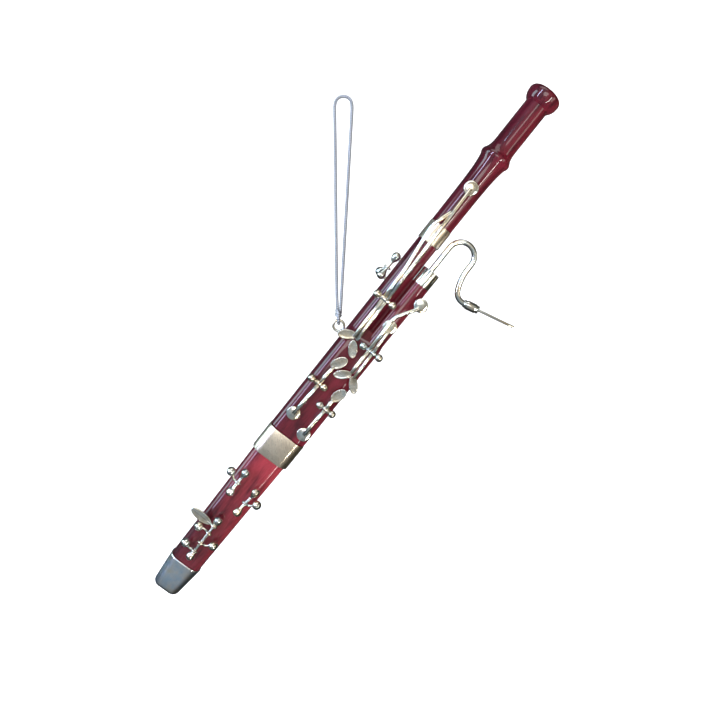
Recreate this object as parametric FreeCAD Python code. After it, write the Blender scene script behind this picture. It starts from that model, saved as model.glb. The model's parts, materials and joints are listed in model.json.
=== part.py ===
"""Miniature bassoon that hangs from a thread: a carved wooden body with plated metal keys.

The instrument is drawn upright in its own frame, in millimetres: Z runs from the boot cap (0) to the
bell, X to the wing joint's side, and the keys stand on the face that looks along -Y. It is then leaned
over to the angle at which it hangs, with its weight straight below the screw eye, and put under the
thread loop. The finished frame has +Z up and its origin inside the top of the loop, where a hook goes.
"""
import FreeCAD, Part
import math
import os

V = FreeCAD.Vector

# ---- materials: kg per cubic metre, for the balance on the thread ----
WOOD = 600.0
METAL = 7850.0
BRASS = 8500.0
LEATHER = 900.0

# ---- body, bottom to top ----
CAP_HEIGHT = 8.9          # metal cap on the foot of the boot
CAP_RIM_WIDTH = 8.1
CAP_RIM_DEPTH = 5.5
CAP_FOOT_WIDTH = 6.4
CAP_FOOT_DEPTH = 4.2
CAP_WALL = 0.2
CAP_FLOOR = 0.25
CAP_ROUND = 1.1           # rounding of the cap's bottom edge
FOOT_GAP = 4.2            # air between the boot's foot and the cap's floor
BOOT_LENGTH = 32.4        # wood between the cap and the band
BOOT_FOOT_WIDTH = 7.6
BOOT_FOOT_DEPTH = 5.0
BOOT_ROUND = 0.42         # radius of the boot's and cap's long edges, as a share of the depth
BOOT_TOP_WIDTH = 8.5
BOOT_TOP_DEPTH = 5.15
BOOT_BORE_D = 3.2         # two bores side by side, open upwards, that lighten the boot
BOOT_BORE_SPACING = 3.5
BOOT_BORE_FLOOR = 5.5     # solid wood below them, above the cap
BAND_HEIGHT = 6.7         # flat metal band round the socket
BAND_WALL = 0.25
BAND_PROUD = 0.12         # how far the band stands out from the wood above it
BODY_WIDTH = 9.2          # flattened lower part of the wing and long joints
BODY_DEPTH = 5.6
BODY_LENGTH = 27.5        # from the band to the shoulder
BODY_ROUND = 2.3          # radius of the body's long edges
BODY_HEEL = 0.4           # rounding where the body sits on the band
SHOULDER_HEIGHT = 2.6     # slope from the flat body up to the two tubes
SHOULDER_IN_SIDES = 0.4   # how far the slope leans in at each side, and at each face
SHOULDER_IN_FACES = 0.9
SHOULDER_FLOOR_DROP = 1.0 # the tubes start this far below the shoulder's foot, inside the body

# ---- long joint, ferrule and bell: one turned line above the body ----
LONG_D = 4.85
LONG_LENGTH = 25.0        # from the shoulder's foot to the ferrule
FERRULE_HEIGHT = 4.5
FERRULE_WALL = 0.9
FERRULE_D = 5.3
TENON_D = 3.0             # wooden spigot of the bell inside the long joint
TENON_LENGTH = 3.0
BELL_LENGTH = 34.4        # from the ferrule to the top
BELL_FOOT_D = 5.1
BELL_WAIST_D = 5.2
BELL_TUBE_D = 5.25
BELL_RING_D = 6.95        # turned ring half way up the bell
BELL_RING_BELOW_TOP = 16.5
BELL_RING_FADE = 3.2      # length over which the ring runs out into the tube above it
BELL_FLARE = 8.6          # length of the hollow curve below the ring
BELL_LIP_D = 7.25
BELL_LIP_HEIGHT = 3.5
BELL_MOUTH_D = 4.4
BELL_BORE_D = 3.0         # at the blind end of the tapered mouth
BELL_FUNNEL = 8.0         # depth of the mouth

# ---- wing joint, its socket and the bocal ----
WING_D = 4.1
WING_INSET = 0.25         # from the body's right side to the wing's
WING_FORWARD = 0.7        # towards the keys
WING_WEB = 1.6            # thickness of the wood left between the two tubes
WING_KEYS_IN = 2.1        # line that the wing's keys are laid out from, in from the body's side
WING_LENGTH = 17.0        # wooden tube above the shoulder's foot
SOCKET_HEIGHT = 3.85
SOCKET_D = 4.1
SOCKET_WALL = 0.21
SOCKET_LID = 0.9
BOCAL_D = 1.25
BOCAL_OFFSET = 0.25       # the bocal's hole stands off the wing's axis, towards the bell
BOCAL_SEAT = 3.5          # depth of the bocal in its socket
BOCAL_CLEAR = 0.3         # air under the bocal's foot
BOCAL_RISE = 6.3          # straight leg above the socket
BOCAL_TOP_R = 3.0
BOCAL_DROP = 0.95         # straight stretch after the top bend
BOCAL_SWEEP_R = 10.85     # long outward curve
BOCAL_SWEEP_TURN = 28.0
BOCAL_HOOK_R = 2.47       # short curve up to the sleeve
BOCAL_TIP_LIFT = 13.0     # slope of the sleeve and tip rod above square
SLEEVE_LENGTH = 3.6
SLEEVE_D = 2.1
SLEEVE_GROOVE = 0.22
TIP_LENGTH = 8.6
TIP_D = 0.5
TURN_GAP = 0.05           # radial clearance of a part that turns in a hole

# ---- keys ----
KEY_RISE = 1.2            # from the body's face to the line of the rods and pins
ROD_D = 0.88
BODY_ROD_D = 1.0          # the two keys on the flat body are stouter
PIN_D = 0.42
PIN_GAP = 0.04
HUB_D = 1.2
BALL_D = 1.8              # heads of the posts that carry the rocking keys
STEM_D = 0.7
STEM_SET = 0.8            # depth of a post's stem in the wood
CUP_D = 3.15
CUP_THICK = 0.5
CUP_SEAT = 0.1            # how far a rod's back lies in its cup
PAD_D = 2.6
PAD_GAP = 0.07            # between a pad and the wood under it
TOUCH_THICK = 0.45
WING_LIFT = 0.4           # the upper wing key passes this far in front of the lower one's cup
END_PLAY = 0.05           # along a pin, at each side of a hub
WASHER_D = 1.4
WASHER_THICK = 0.32
FLARE_GROWTH = 0.06       # how much the bell's flare has already grown under the fork's pad
FORK_PIVOT = 10.0         # the forked key's pin, above the shoulder's foot
FORK_REACH = 39.0         # its cup, above the shoulder's foot
FORK_FOOT = 0.6           # its rods' lower ends, below the shoulder's foot
WING_PIVOT = 0.65         # the wing keys' pin, below the shoulder's foot
WING_UPPER_REACH = 13.7   # their cups, above the shoulder's foot
WING_LOWER_REACH = 6.0
LEFT_PIVOT = 14.4         # pins and cups of the two keys on the flat body, above the band
LEFT_CUP = 5.5
RIGHT_PIVOT = 10.7
RIGHT_CUP = 3.0
HUB_HALF = 0.55           # half the length of the hub of a key on the flat body

# ---- small keys on axles ----
AXLE_D = 0.74
AXLE_BALL_D = 1.95
COLLAR_D = 1.75
COLLAR_THICK = 0.55
ARM_D = 0.6
TIP_BALL_D = 2.15
PADDLE_LENGTH = 5.6
PADDLE_WIDTH = 2.2
PADDLE_BELOW_BAND = 19.75

# ---- screw eye and thread ----
EYE_WIRE = 0.62
EYE_MEAN_R = 1.2
EYE_STAND = 0.04          # from the body's side to the ring
EYE_BELOW_SHOULDER = 0.95
EYE_SHANK_SET = 2.2
THREAD_D = 0.75
THREAD_DROP = 47.4        # from the hook's place to the middle of the eye
THREAD_TOP_R = 1.5        # bend at the loop's top, over the hook
THREAD_NECK = THREAD_D / 2 + 0.025    # from the knot's middle to each strand's middle
THREAD_GAP = 0.06         # between the thread and the eye's wire
KNOT_D = 2.2 * THREAD_D
KNOT_HEIGHT = 2.6 * THREAD_D
KNOT_ABOVE_EYE = 2.75     # from the middle of the eye to the middle of the knot

# ---- heights and places worked out from the sizes ----
BAND_Z = CAP_HEIGHT + BOOT_LENGTH
BODY_Z = BAND_Z + BAND_HEIGHT
SHOULDER_Z = BODY_Z + BODY_LENGTH
FERRULE_Z = SHOULDER_Z + LONG_LENGTH
BELL_Z = FERRULE_Z + FERRULE_HEIGHT
TOP_Z = BELL_Z + BELL_LENGTH
SOCKET_Z = SHOULDER_Z + WING_LENGTH
SOCKET_TOP = SOCKET_Z + SOCKET_HEIGHT
LONG_X = -(BODY_WIDTH - LONG_D) / 2
WING_X = BODY_WIDTH / 2 - WING_INSET - WING_D / 2
WING_KEY_X = BODY_WIDTH / 2 - WING_KEYS_IN
BOCAL_X = WING_X - BOCAL_OFFSET
WING_Y = -WING_FORWARD
FACE_Y = -BODY_DEPTH / 2
KEY_Y = FACE_Y - KEY_RISE
CUP_BACK = KEY_Y + ROD_D / 2 - CUP_SEAT + CUP_THICK
JOINT_Z = FERRULE_Z + FERRULE_HEIGHT / 2
EYE_X = -BODY_WIDTH / 2 - EYE_STAND - EYE_MEAN_R - EYE_WIRE / 2
EYE_Z = SHOULDER_Z - EYE_BELOW_SHOULDER
CORNER_X = BODY_WIDTH / 2 - BODY_ROUND
CORNER_Y = -(BODY_DEPTH / 2 - BODY_ROUND)


# ---- shapes used more than once ----
def ball(centre, diameter):
    return Part.makeSphere(diameter / 2, centre)


def bar(start, end, diameter):
    """A round bar between two points."""
    along = end - start
    return Part.makeCylinder(diameter / 2, along.Length, start, along)


def tube(x, y, low, high, outer, inner):
    """An upright tube with its axis at x, y."""
    wall = bar(V(x, y, low), V(x, y, high), outer)
    return wall.cut(bar(V(x, y, low - 1), V(x, y, high + 1), inner))


def outline(width, depth, radius, z):
    """A closed rounded rectangle at height z, centred on the axis."""
    radius = min(radius, 0.495 * depth, 0.495 * width)
    x, y = width / 2, depth / 2
    a, b = x - radius, y - radius
    k = radius * math.sqrt(0.5)
    edges = [
        Part.LineSegment(V(-a, -y, z), V(a, -y, z)),
        Part.Arc(V(a, -y, z), V(a + k, -b - k, z), V(x, -b, z)),
        Part.LineSegment(V(x, -b, z), V(x, b, z)),
        Part.Arc(V(x, b, z), V(a + k, b + k, z), V(a, y, z)),
        Part.LineSegment(V(a, y, z), V(-a, y, z)),
        Part.Arc(V(-a, y, z), V(-a - k, b + k, z), V(-x, b, z)),
        Part.LineSegment(V(-x, b, z), V(-x, -b, z)),
        Part.Arc(V(-x, -b, z), V(-a - k, -b - k, z), V(-a, -y, z)),
    ]
    return Part.Wire([edge.toShape() for edge in edges])


def taper(*sections):
    """A solid through rounded rectangles, each (width, depth, radius, z), with straight sides."""
    return Part.makeLoft([outline(*section) for section in sections], True, True)


def turned(x, y, edges):
    """A solid turned about the upright axis at x, y from a closed outline of (r, z) edges."""
    face = Part.Face(Part.Wire([edge.toShape() for edge in edges]))
    face.translate(V(x, y, 0))
    return face.revolve(V(x, y, 0), V(0, 0, 1), 360)


def line(a, b):
    """An edge of a turned outline, between two (r, z) points."""
    return Part.LineSegment(V(a[0], 0, a[1]), V(b[0], 0, b[1]))


def arc(a, b, c):
    return Part.Arc(V(a[0], 0, a[1]), V(b[0], 0, b[1]), V(c[0], 0, c[1]))


def bent_path(points, bends):
    """Straight runs between points, with a tangent arc of the given radius at each inner point."""
    edges = []
    start = points[0]
    for i, radius in enumerate(bends, 1):
        back = (points[i - 1] - points[i]).normalize()
        ahead = (points[i + 1] - points[i]).normalize()
        half = back.getAngle(ahead) / 2
        reach = radius / math.tan(half)
        first = points[i] + back * reach
        last = points[i] + ahead * reach
        inward = (back + ahead).normalize()
        middle = points[i] + inward * (radius / math.sin(half) - radius)
        edges.append(Part.LineSegment(start, first).toShape())
        edges.append(Part.Arc(first, middle, last).toShape())
        start = last
    edges.append(Part.LineSegment(start, points[-1]).toShape())
    return Part.Wire(edges)


def piped(path, start, along, diameter):
    """Round wire along a path that leaves start in the direction along."""
    ring = Part.Wire([Part.makeCircle(diameter / 2, start, along)])
    return path.makePipeShell([ring], True, False)


def bent(points, bends, diameter):
    """Round wire along bent_path."""
    return piped(bent_path(points, bends), points[0], points[1] - points[0], diameter)


def capped(points, bends, diameter):
    """Bent wire with a rounded end at each of its two ends."""
    wire = bent(points, bends, diameter)
    return wire.fuse([ball(points[0], diameter), ball(points[-1], diameter)]).removeSplitter()


def oval(centre, length, width, thick, tilt):
    """A flat oval plate that faces -Y, its long axis tilted up from +X by tilt degrees."""
    ellipse = Part.Ellipse(V(0, 0, 0), length / 2, width / 2).toShape()
    plate = Part.Face(Part.Wire([ellipse])).extrude(V(0, 0, thick))
    plate = plate.makeFillet(0.3 * thick, plate.Edges[:])
    plate.translate(V(0, 0, -thick / 2))
    plate.rotate(V(0, 0, 0), V(0, 0, 1), tilt)
    plate.rotate(V(0, 0, 0), V(1, 0, 0), 90)
    plate.translate(centre)
    return plate


def stem(centre, root, surface):
    """The stem of a post: from a ball's centre towards the root line, set below its surface."""
    inward = V(root[0] - centre.x, root[1] - centre.y, 0)
    reach = inward.Length - surface + STEM_SET
    return bar(centre, centre + inward.normalize() * reach, STEM_D)


def posts(spots, diameter, pin):
    """Ball posts at (centre, root, surface radius), drilled for the pin that they carry."""
    made = []
    for centre, root, surface in spots:
        head = ball(centre, diameter).fuse(stem(centre, root, surface)).removeSplitter()
        made.append(head.cut(pin))
    return Part.makeCompound(made)


def body_root(x):
    """Root of a post on the body: straight in on the flat face, towards the edge's centre beyond it."""
    if abs(x) <= CORNER_X:
        return (x, 0.0), BODY_DEPTH / 2
    return (math.copysign(CORNER_X, x), CORNER_Y), BODY_ROUND


def tube_root(x):
    """Root of a post on the long joint's tube."""
    return (LONG_X, 0.0), LONG_D / 2


def bore(z, low, high):
    """The running hole, from x low to x high, of a hub that turns on a cross pin at height z."""
    return bar(V(low, KEY_Y, z), V(high, KEY_Y, z), PIN_D + 2 * PIN_GAP)


def cup(x, z, lift):
    """Round key cup that the rod's end lies in, with a slightly domed face."""
    r = CUP_D / 2
    edge = 0.24 * CUP_THICK
    face = [
        line((0, 0), (r - edge, 0)),
        arc((r - edge, 0), (r - 0.3 * edge, 0.3 * edge), (r, edge)),
        line((r, edge), (r, 0.7 * CUP_THICK)),
        arc((r, 0.7 * CUP_THICK), (0.6 * r, 0.94 * CUP_THICK), (0, CUP_THICK)),
        line((0, CUP_THICK), (0, 0)),
    ]
    shape = turned(0, 0, face)
    shape.rotate(V(0, 0, 0), V(1, 0, 0), 90)
    shape.translate(V(x, CUP_BACK - lift, z))
    return shape


def pad(x, z, lift, wood_y):
    """Leather pad between a cup and the wood, whose nearest point is at wood_y."""
    return bar(V(x, CUP_BACK - lift, z), V(x, wood_y - PAD_GAP, z), PAD_D)


def rounded_foot(shape, radius):
    """The same solid with its lowest edges rounded."""
    low = shape.BoundBox.ZMin + 0.01
    return shape.makeFillet(radius, [edge for edge in shape.Edges if edge.BoundBox.ZMax < low])


# ---- body ----
def cap_section(z, inset=0.0):
    """Outline sizes of the cap at height z, drawn in from its outside by inset."""
    share = z / CAP_HEIGHT
    width = CAP_FOOT_WIDTH + (CAP_RIM_WIDTH - CAP_FOOT_WIDTH) * share - 2 * inset
    depth = CAP_FOOT_DEPTH + (CAP_RIM_DEPTH - CAP_FOOT_DEPTH) * share - 2 * inset
    return width, depth, BOOT_ROUND * depth, z


def cap_inside(low):
    """The hollow of the boot cap from height low up to its rim, and the boot's foot in it."""
    return taper(cap_section(low, CAP_WALL), cap_section(CAP_HEIGHT, CAP_WALL))


def boot_cap():
    shell = taper(cap_section(0), cap_section(CAP_HEIGHT))
    hollow = cap_inside(CAP_FLOOR)
    return rounded_foot(shell, CAP_ROUND).cut(rounded_foot(hollow, CAP_ROUND - CAP_FLOOR))


def socket_section():
    """Width, depth and edge radius of the space inside the band."""
    width = BODY_WIDTH + 2 * (BAND_PROUD - BAND_WALL)
    depth = BODY_DEPTH + 2 * (BAND_PROUD - BAND_WALL)
    return width, depth, BODY_ROUND + BAND_PROUD - BAND_WALL


def band():
    width, depth, radius = socket_section()
    wall = 2 * BAND_WALL
    outer = (width + wall, depth + wall, radius + BAND_WALL)
    ring = taper((*outer, BAND_Z), (*outer, BODY_Z))
    return ring.cut(taper((width, depth, radius, BAND_Z - 1), (width, depth, radius, BODY_Z + 1)))


def boot():
    width, depth, radius = socket_section()
    middle = BAND_Z + BAND_HEIGHT / 2
    foot = cap_inside(CAP_FLOOR + FOOT_GAP)
    shaft = taper(
        (BOOT_FOOT_WIDTH, BOOT_FOOT_DEPTH, BOOT_ROUND * BOOT_FOOT_DEPTH, CAP_HEIGHT),
        (BOOT_TOP_WIDTH, BOOT_TOP_DEPTH, BOOT_ROUND * BOOT_TOP_DEPTH, BAND_Z),
    )
    head = taper((width, depth, radius, BAND_Z), (width, depth, radius, middle))
    floor = CAP_HEIGHT + BOOT_BORE_FLOOR
    bores = []
    for x in (-BOOT_BORE_SPACING / 2, BOOT_BORE_SPACING / 2):
        bores.append(bar(V(x, 0, floor), V(x, 0, middle + 1), BOOT_BORE_D))
    return shaft.fuse([foot, head]).cut(bores)


def upper_body():
    """The wing and long joints, carved from one piece that is flat where it meets the band."""
    inside = socket_section()
    section = (BODY_WIDTH, BODY_DEPTH, BODY_ROUND)
    middle = BAND_Z + BAND_HEIGHT / 2
    plug = taper((*inside, middle), (*inside, BODY_Z))
    block = taper((*section, BODY_Z), (*section, SHOULDER_Z))
    block = rounded_foot(block, BODY_HEEL)
    top_width = BODY_WIDTH - 2 * SHOULDER_IN_SIDES
    top_depth = BODY_DEPTH - 2 * SHOULDER_IN_FACES
    top = (top_width, top_depth, 0.45 * top_depth)
    shoulder = taper((*section, SHOULDER_Z), (*top, SHOULDER_Z + SHOULDER_HEIGHT))
    low = SHOULDER_Z - SHOULDER_FLOOR_DROP
    long_tube = bar(V(LONG_X, 0, low), V(LONG_X, 0, FERRULE_Z), LONG_D)
    neck = bar(V(LONG_X, 0, FERRULE_Z), V(LONG_X, 0, JOINT_Z), FERRULE_D - 2 * FERRULE_WALL)
    wing = bar(V(WING_X, WING_Y, low), V(WING_X, WING_Y, SOCKET_Z), WING_D)
    web_y = (WING_Y - WING_WEB) / 2
    web = Part.makeBox(WING_X - LONG_X, WING_WEB, SOCKET_Z - low, V(LONG_X, web_y, low))
    spigot = socket_inside(SOCKET_Z)
    wood = block.fuse([plug, shoulder, long_tube, neck, wing, web, spigot])
    return wood.cut([tenon_hole(), bocal_hole()])


def tenon_hole():
    return bar(V(LONG_X, 0, JOINT_Z - TENON_LENGTH), V(LONG_X, 0, JOINT_Z + 1), TENON_D)


def bocal_hole():
    """Running hole for the bocal, through the socket's lid and into the wood."""
    foot = V(BOCAL_X, WING_Y, SOCKET_TOP - BOCAL_SEAT - BOCAL_CLEAR)
    return bar(foot, V(BOCAL_X, WING_Y, SOCKET_TOP + 1), BOCAL_D + 2 * TURN_GAP)


def socket_inside(low):
    """The space inside the wing's socket, from height low up to its lid."""
    top = V(WING_X, WING_Y, SOCKET_TOP - SOCKET_LID)
    return bar(V(WING_X, WING_Y, low), top, SOCKET_D - 2 * SOCKET_WALL)


def ferrule():
    return tube(LONG_X, 0, FERRULE_Z, BELL_Z, FERRULE_D, FERRULE_D - 2 * FERRULE_WALL)


def bell():
    """Turned bell: tenon, plain foot, hollow curve up to the ring, plain tube and rounded lip."""
    ring_z = TOP_Z - BELL_RING_BELOW_TOP
    neck_r = FERRULE_D / 2 - FERRULE_WALL
    foot_r, waist_r = BELL_FOOT_D / 2, BELL_WAIST_D / 2
    tube_r, ring_r, lip_r = BELL_TUBE_D / 2, BELL_RING_D / 2, BELL_LIP_D / 2
    mouth_r, bore_r = BELL_MOUTH_D / 2, BELL_BORE_D / 2
    flare_z = ring_z - BELL_FLARE
    shelf = (ring_r - 0.3, ring_z - 0.9)
    lip_z = TOP_Z - BELL_LIP_HEIGHT
    belly = lip_z + 0.6 * BELL_LIP_HEIGHT
    crest = (lip_r - 0.75, TOP_Z)
    brow = (ring_r - 0.3, ring_z + 0.7)
    flare = Part.BSplineCurve()
    swell = ring_r - waist_r
    flare.interpolate([
        V(waist_r, 0, flare_z),
        V(waist_r + 0.11 * swell, 0, flare_z + 0.42 * BELL_FLARE),
        V(waist_r + 0.36 * swell, 0, flare_z + 0.72 * BELL_FLARE),
        V(shelf[0], 0, shelf[1]),
    ])
    fade = Part.BSplineCurve()
    step = ring_r - 0.3 - tube_r
    fade.interpolate([
        V(brow[0], 0, brow[1]),
        V(tube_r + 0.45 * step, 0, ring_z + 0.42 * BELL_RING_FADE),
        V(tube_r + 0.12 * step, 0, ring_z + 0.68 * BELL_RING_FADE),
        V(tube_r, 0, ring_z + BELL_RING_FADE),
    ])
    edges = [
        line((0, JOINT_Z - TENON_LENGTH), (TENON_D / 2, JOINT_Z - TENON_LENGTH)),
        line((TENON_D / 2, JOINT_Z - TENON_LENGTH), (TENON_D / 2, JOINT_Z)),
        line((TENON_D / 2, JOINT_Z), (neck_r, JOINT_Z)),
        line((neck_r, JOINT_Z), (neck_r, BELL_Z)),
        line((neck_r, BELL_Z), (foot_r, BELL_Z)),
        line((foot_r, BELL_Z), (waist_r, flare_z)),
        flare,
        arc(shelf, (ring_r, ring_z), brow),
        fade,
        line((tube_r, ring_z + BELL_RING_FADE), (tube_r, lip_z)),
        arc((tube_r, lip_z), (lip_r - 0.2, lip_z + 0.32 * BELL_LIP_HEIGHT), (lip_r, belly)),
        arc((lip_r, belly), (lip_r - 0.25, TOP_Z - 0.35), crest),
        line(crest, (mouth_r + 0.2, TOP_Z)),
        arc((mouth_r + 0.2, TOP_Z), (mouth_r + 0.05, TOP_Z - 0.05), (mouth_r, TOP_Z - 0.2)),
        line((mouth_r, TOP_Z - 0.2), (bore_r, TOP_Z - BELL_FUNNEL)),
        line((bore_r, TOP_Z - BELL_FUNNEL), (0, TOP_Z - BELL_FUNNEL)),
        line((0, TOP_Z - BELL_FUNNEL), (0, JOINT_Z - TENON_LENGTH)),
    ]
    return turned(LONG_X, 0, edges)


def wing_socket():
    """Metal cap on the wing's end, with an off-centre hole for the bocal."""
    outer = bar(V(WING_X, WING_Y, SOCKET_Z), V(WING_X, WING_Y, SOCKET_TOP), SOCKET_D)
    return outer.cut([socket_inside(SOCKET_Z - 1), bocal_hole()])


# ---- bocal ----
def bocal_route():
    """Edges of the bocal's centre line, and the point and direction in which it ends."""
    y = WING_Y
    foot = V(BOCAL_X, y, SOCKET_TOP - BOCAL_SEAT)
    left = V(BOCAL_X, y, SOCKET_TOP + BOCAL_RISE)
    top = left + V(BOCAL_TOP_R, 0, BOCAL_TOP_R)
    right = left + V(2 * BOCAL_TOP_R, 0, 0)
    drop = right - V(0, 0, BOCAL_DROP)
    turn = math.radians(BOCAL_SWEEP_TURN)
    lift = math.radians(BOCAL_TIP_LIFT)

    def swept(angle):
        return drop + V(BOCAL_SWEEP_R * (1 - math.cos(angle)), 0, -BOCAL_SWEEP_R * math.sin(angle))

    hook = swept(turn) + V(BOCAL_HOOK_R * math.cos(turn), 0, BOCAL_HOOK_R * math.sin(turn))

    def hooked(angle):
        return hook + V(-BOCAL_HOOK_R * math.cos(angle), 0, -BOCAL_HOOK_R * math.sin(angle))

    end = hooked(math.pi / 2 + lift)
    edges = [
        Part.LineSegment(foot, left),
        Part.Arc(left, top, right),
        Part.LineSegment(right, drop),
        Part.Arc(drop, swept(turn / 2), swept(turn)),
        Part.Arc(swept(turn), hooked((turn + math.pi / 2 + lift) / 2), end),
    ]
    return edges, foot, end, V(math.cos(lift), 0, math.sin(lift))


def bocal():
    edges, foot, _, _ = bocal_route()
    path = Part.Wire([edge.toShape() for edge in edges])
    return piped(path, foot, V(0, 0, 1), BOCAL_D)


def bocal_sleeve():
    """Turned sleeve on the bocal's end, with a groove near each end."""
    _, _, end, _ = bocal_route()
    r, deep, n = SLEEVE_D / 2, SLEEVE_GROOVE, SLEEVE_LENGTH
    edge = 0.18
    groove = 0.17 * n
    far = n - groove
    outline_edges = [
        line((0, 0), (r - edge - deep, 0)),
        arc((r - edge - deep, 0), (r - 0.3 * edge - deep, 0.3 * edge), (r - deep, edge)),
        line((r - deep, edge), (r - deep, groove)),
        arc((r - deep, groove), (r - 0.3 * deep, groove + 0.3 * deep), (r, groove + 1.4 * deep)),
        line((r, groove + 1.4 * deep), (r, far - 1.4 * deep)),
        arc((r, far - 1.4 * deep), (r - 0.3 * deep, far - 0.3 * deep), (r - deep, far)),
        line((r - deep, far), (r - deep, n - edge)),
        arc((r - deep, n - edge), (r - 0.3 * edge - deep, n - 0.3 * edge), (r - edge - deep, n)),
        line((r - edge - deep, n), (0, n)),
        line((0, n), (0, 0)),
    ]
    shape = turned(0, 0, outline_edges)
    shape.rotate(V(0, 0, 0), V(0, 1, 0), 90 - BOCAL_TIP_LIFT)
    shape.translate(end)
    return shape


def tip_rod():
    """Thin rod that stands for the reed's place at the end of the bocal."""
    _, _, end, along = bocal_route()
    root = end + along * SLEEVE_LENGTH
    tip = root + along * TIP_LENGTH
    return bar(root, tip, TIP_D).fuse(ball(tip, TIP_D)).removeSplitter()


# ---- rocking keys ----
class Lever:
    """A key that rocks on a cross pin between two ball posts.

    name       first word of its nodes' names
    pivot_z    height of the pin
    wires      bent rods, each (points, bend radii, diameter), with points as (x, z)
    cup_at     (x, z) of the cup, and wood_y the nearest wood under its pad
    touches    (x, z, length, width, tilt) of each finger touch
    hub        (low x, high x) of the tube that turns on the pin
    lift       how far the rods stand out in front of the pin
    """

    def __init__(self, name, pivot_z, wires, cup_at, wood_y, touches, hub, lift=0.0):
        self.name, self.pivot_z, self.wires, self.lift = name, pivot_z, wires, lift
        self.cup_at, self.wood_y, self.touches, self.hub = cup_at, wood_y, touches, hub

    def nodes(self):
        y = KEY_Y - self.lift
        touches = [
            oval(V(x, y, z), length, width, TOUCH_THICK, tilt)
            for x, z, length, width, tilt in self.touches
        ]
        rods = [
            capped([V(x, y, z) for x, z in points], bends, diameter)
            for points, bends, diameter in self.wires
        ]
        low, high = self.hub
        hub = bar(V(low, KEY_Y, self.pivot_z), V(high, KEY_Y, self.pivot_z), HUB_D)
        arms = rods[0].fuse([*rods[1:], hub]).removeSplitter()
        arms = arms.cut([bore(self.pivot_z, low - 1, high + 1), *touches])
        arms = max(arms.Solids, key=lambda solid: solid.Volume)
        made = {
            self.name + "_rod": (arms, METAL),
            self.name + "_cup": (cup(*self.cup_at, self.lift).cut(arms), METAL),
            self.name + "_pad": (pad(*self.cup_at, self.lift, self.wood_y), LEATHER),
        }
        for i, touch in enumerate(touches):
            side = ("_left", "_right")[i] if len(touches) > 1 else ""
            made[self.name + "_touch" + side] = (touch, METAL)
        return made


def fork_lever():
    """Long forked key: one rod to the cup below the bell's ring and a bowed one soldered to it."""
    pivot = SHOULDER_Z + FORK_PIVOT
    foot = SHOULDER_Z - FORK_FOOT
    top = SHOULDER_Z + FORK_REACH
    cup_x = LONG_X - 0.3
    main_x, bow_x = LONG_X + 0.78, LONG_X - 0.12
    main = ([(main_x, foot), (cup_x, top - 0.2)], [], ROD_D)
    bow = [
        (bow_x, foot + 0.2),
        (bow_x - 0.45, SHOULDER_Z + 17.4),
        (LONG_X - 1.95, SHOULDER_Z + 28.3),
        (LONG_X - 0.5, SHOULDER_Z + 32.7),
    ]
    touches = [
        (LONG_X - 1.65, foot - 0.25, 4.15, 2.15, 33),
        (LONG_X + 1.35, foot - 2.0, 4.0, 2.0, -56),
    ]
    hub = (LONG_X - 0.95, LONG_X + 1.2)
    wood = -BELL_WAIST_D / 2 - FLARE_GROWTH
    return Lever("fork", pivot, [main, (bow, [14.0, 5.0], ROD_D)], (cup_x, top), wood, touches, hub)


def wing_levers():
    """Two short keys side by side on one pin: the outer cup hangs over the wing's right side."""
    pivot = SHOULDER_Z - WING_PIVOT
    outer_x, inner_x, cup_x = WING_KEY_X - 0.4, WING_KEY_X + 0.7, WING_KEY_X + 2.3
    reach, short_reach = SHOULDER_Z + WING_UPPER_REACH, SHOULDER_Z + WING_LOWER_REACH
    outer = [(outer_x, SHOULDER_Z - 6.9), (outer_x - 0.2, reach - 5.2), (cup_x, reach - 0.7)]
    inner = [(inner_x + 0.1, SHOULDER_Z - 7.5), (WING_KEY_X + 0.3, short_reach - 0.3)]
    wood = WING_Y - WING_D / 2
    outer_touch = (outer_x - 1.25, SHOULDER_Z - 8.3, 3.9, 2.0, 39)
    inner_touch = (inner_x + 1.0, SHOULDER_Z - 8.75, 4.0, 2.0, -47)
    outer_hub = (outer_x - HUB_HALF, outer_x + 0.7 * HUB_HALF)
    inner_hub = (inner_x - HUB_HALF, inner_x + HUB_HALF)
    return [
        Lever("wing_upper", pivot, [(outer, [3.0], ROD_D)], (cup_x, reach), wood,
              [outer_touch], outer_hub, WING_LIFT),
        Lever("wing_lower", pivot, [(inner, [], ROD_D)], (WING_KEY_X, short_reach), wood,
              [inner_touch], inner_hub),
    ]


def body_levers():
    """The two keys whose cups stand just above the band, with their touches above them."""
    left_x, right_x = LONG_X + 0.2, WING_KEY_X + 0.2
    left_cup, right_cup = BODY_Z + LEFT_CUP, BODY_Z + RIGHT_CUP
    left = [(left_x - 0.15, left_cup + 0.1), (left_x + 0.3, BODY_Z + 19.5)]
    right = [(right_x - 0.1, right_cup + 0.1), (right_x + 0.1, BODY_Z + 13.4)]
    left_touch = (left_x + 0.75, BODY_Z + 20.7, 4.0, 2.4, 62)
    right_touch = (right_x + 0.45, BODY_Z + 14.9, 3.9, 2.4, 74)
    return [
        Lever("left", BODY_Z + LEFT_PIVOT, [(left, [], BODY_ROD_D)], (left_x - 0.2, left_cup), FACE_Y,
              [left_touch], (left_x - HUB_HALF, left_x + HUB_HALF)),
        Lever("right", BODY_Z + RIGHT_PIVOT, [(right, [], BODY_ROD_D)], (right_x - 0.1, right_cup),
              FACE_Y, [right_touch], (right_x - HUB_HALF, right_x + HUB_HALF)),
    ]


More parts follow.
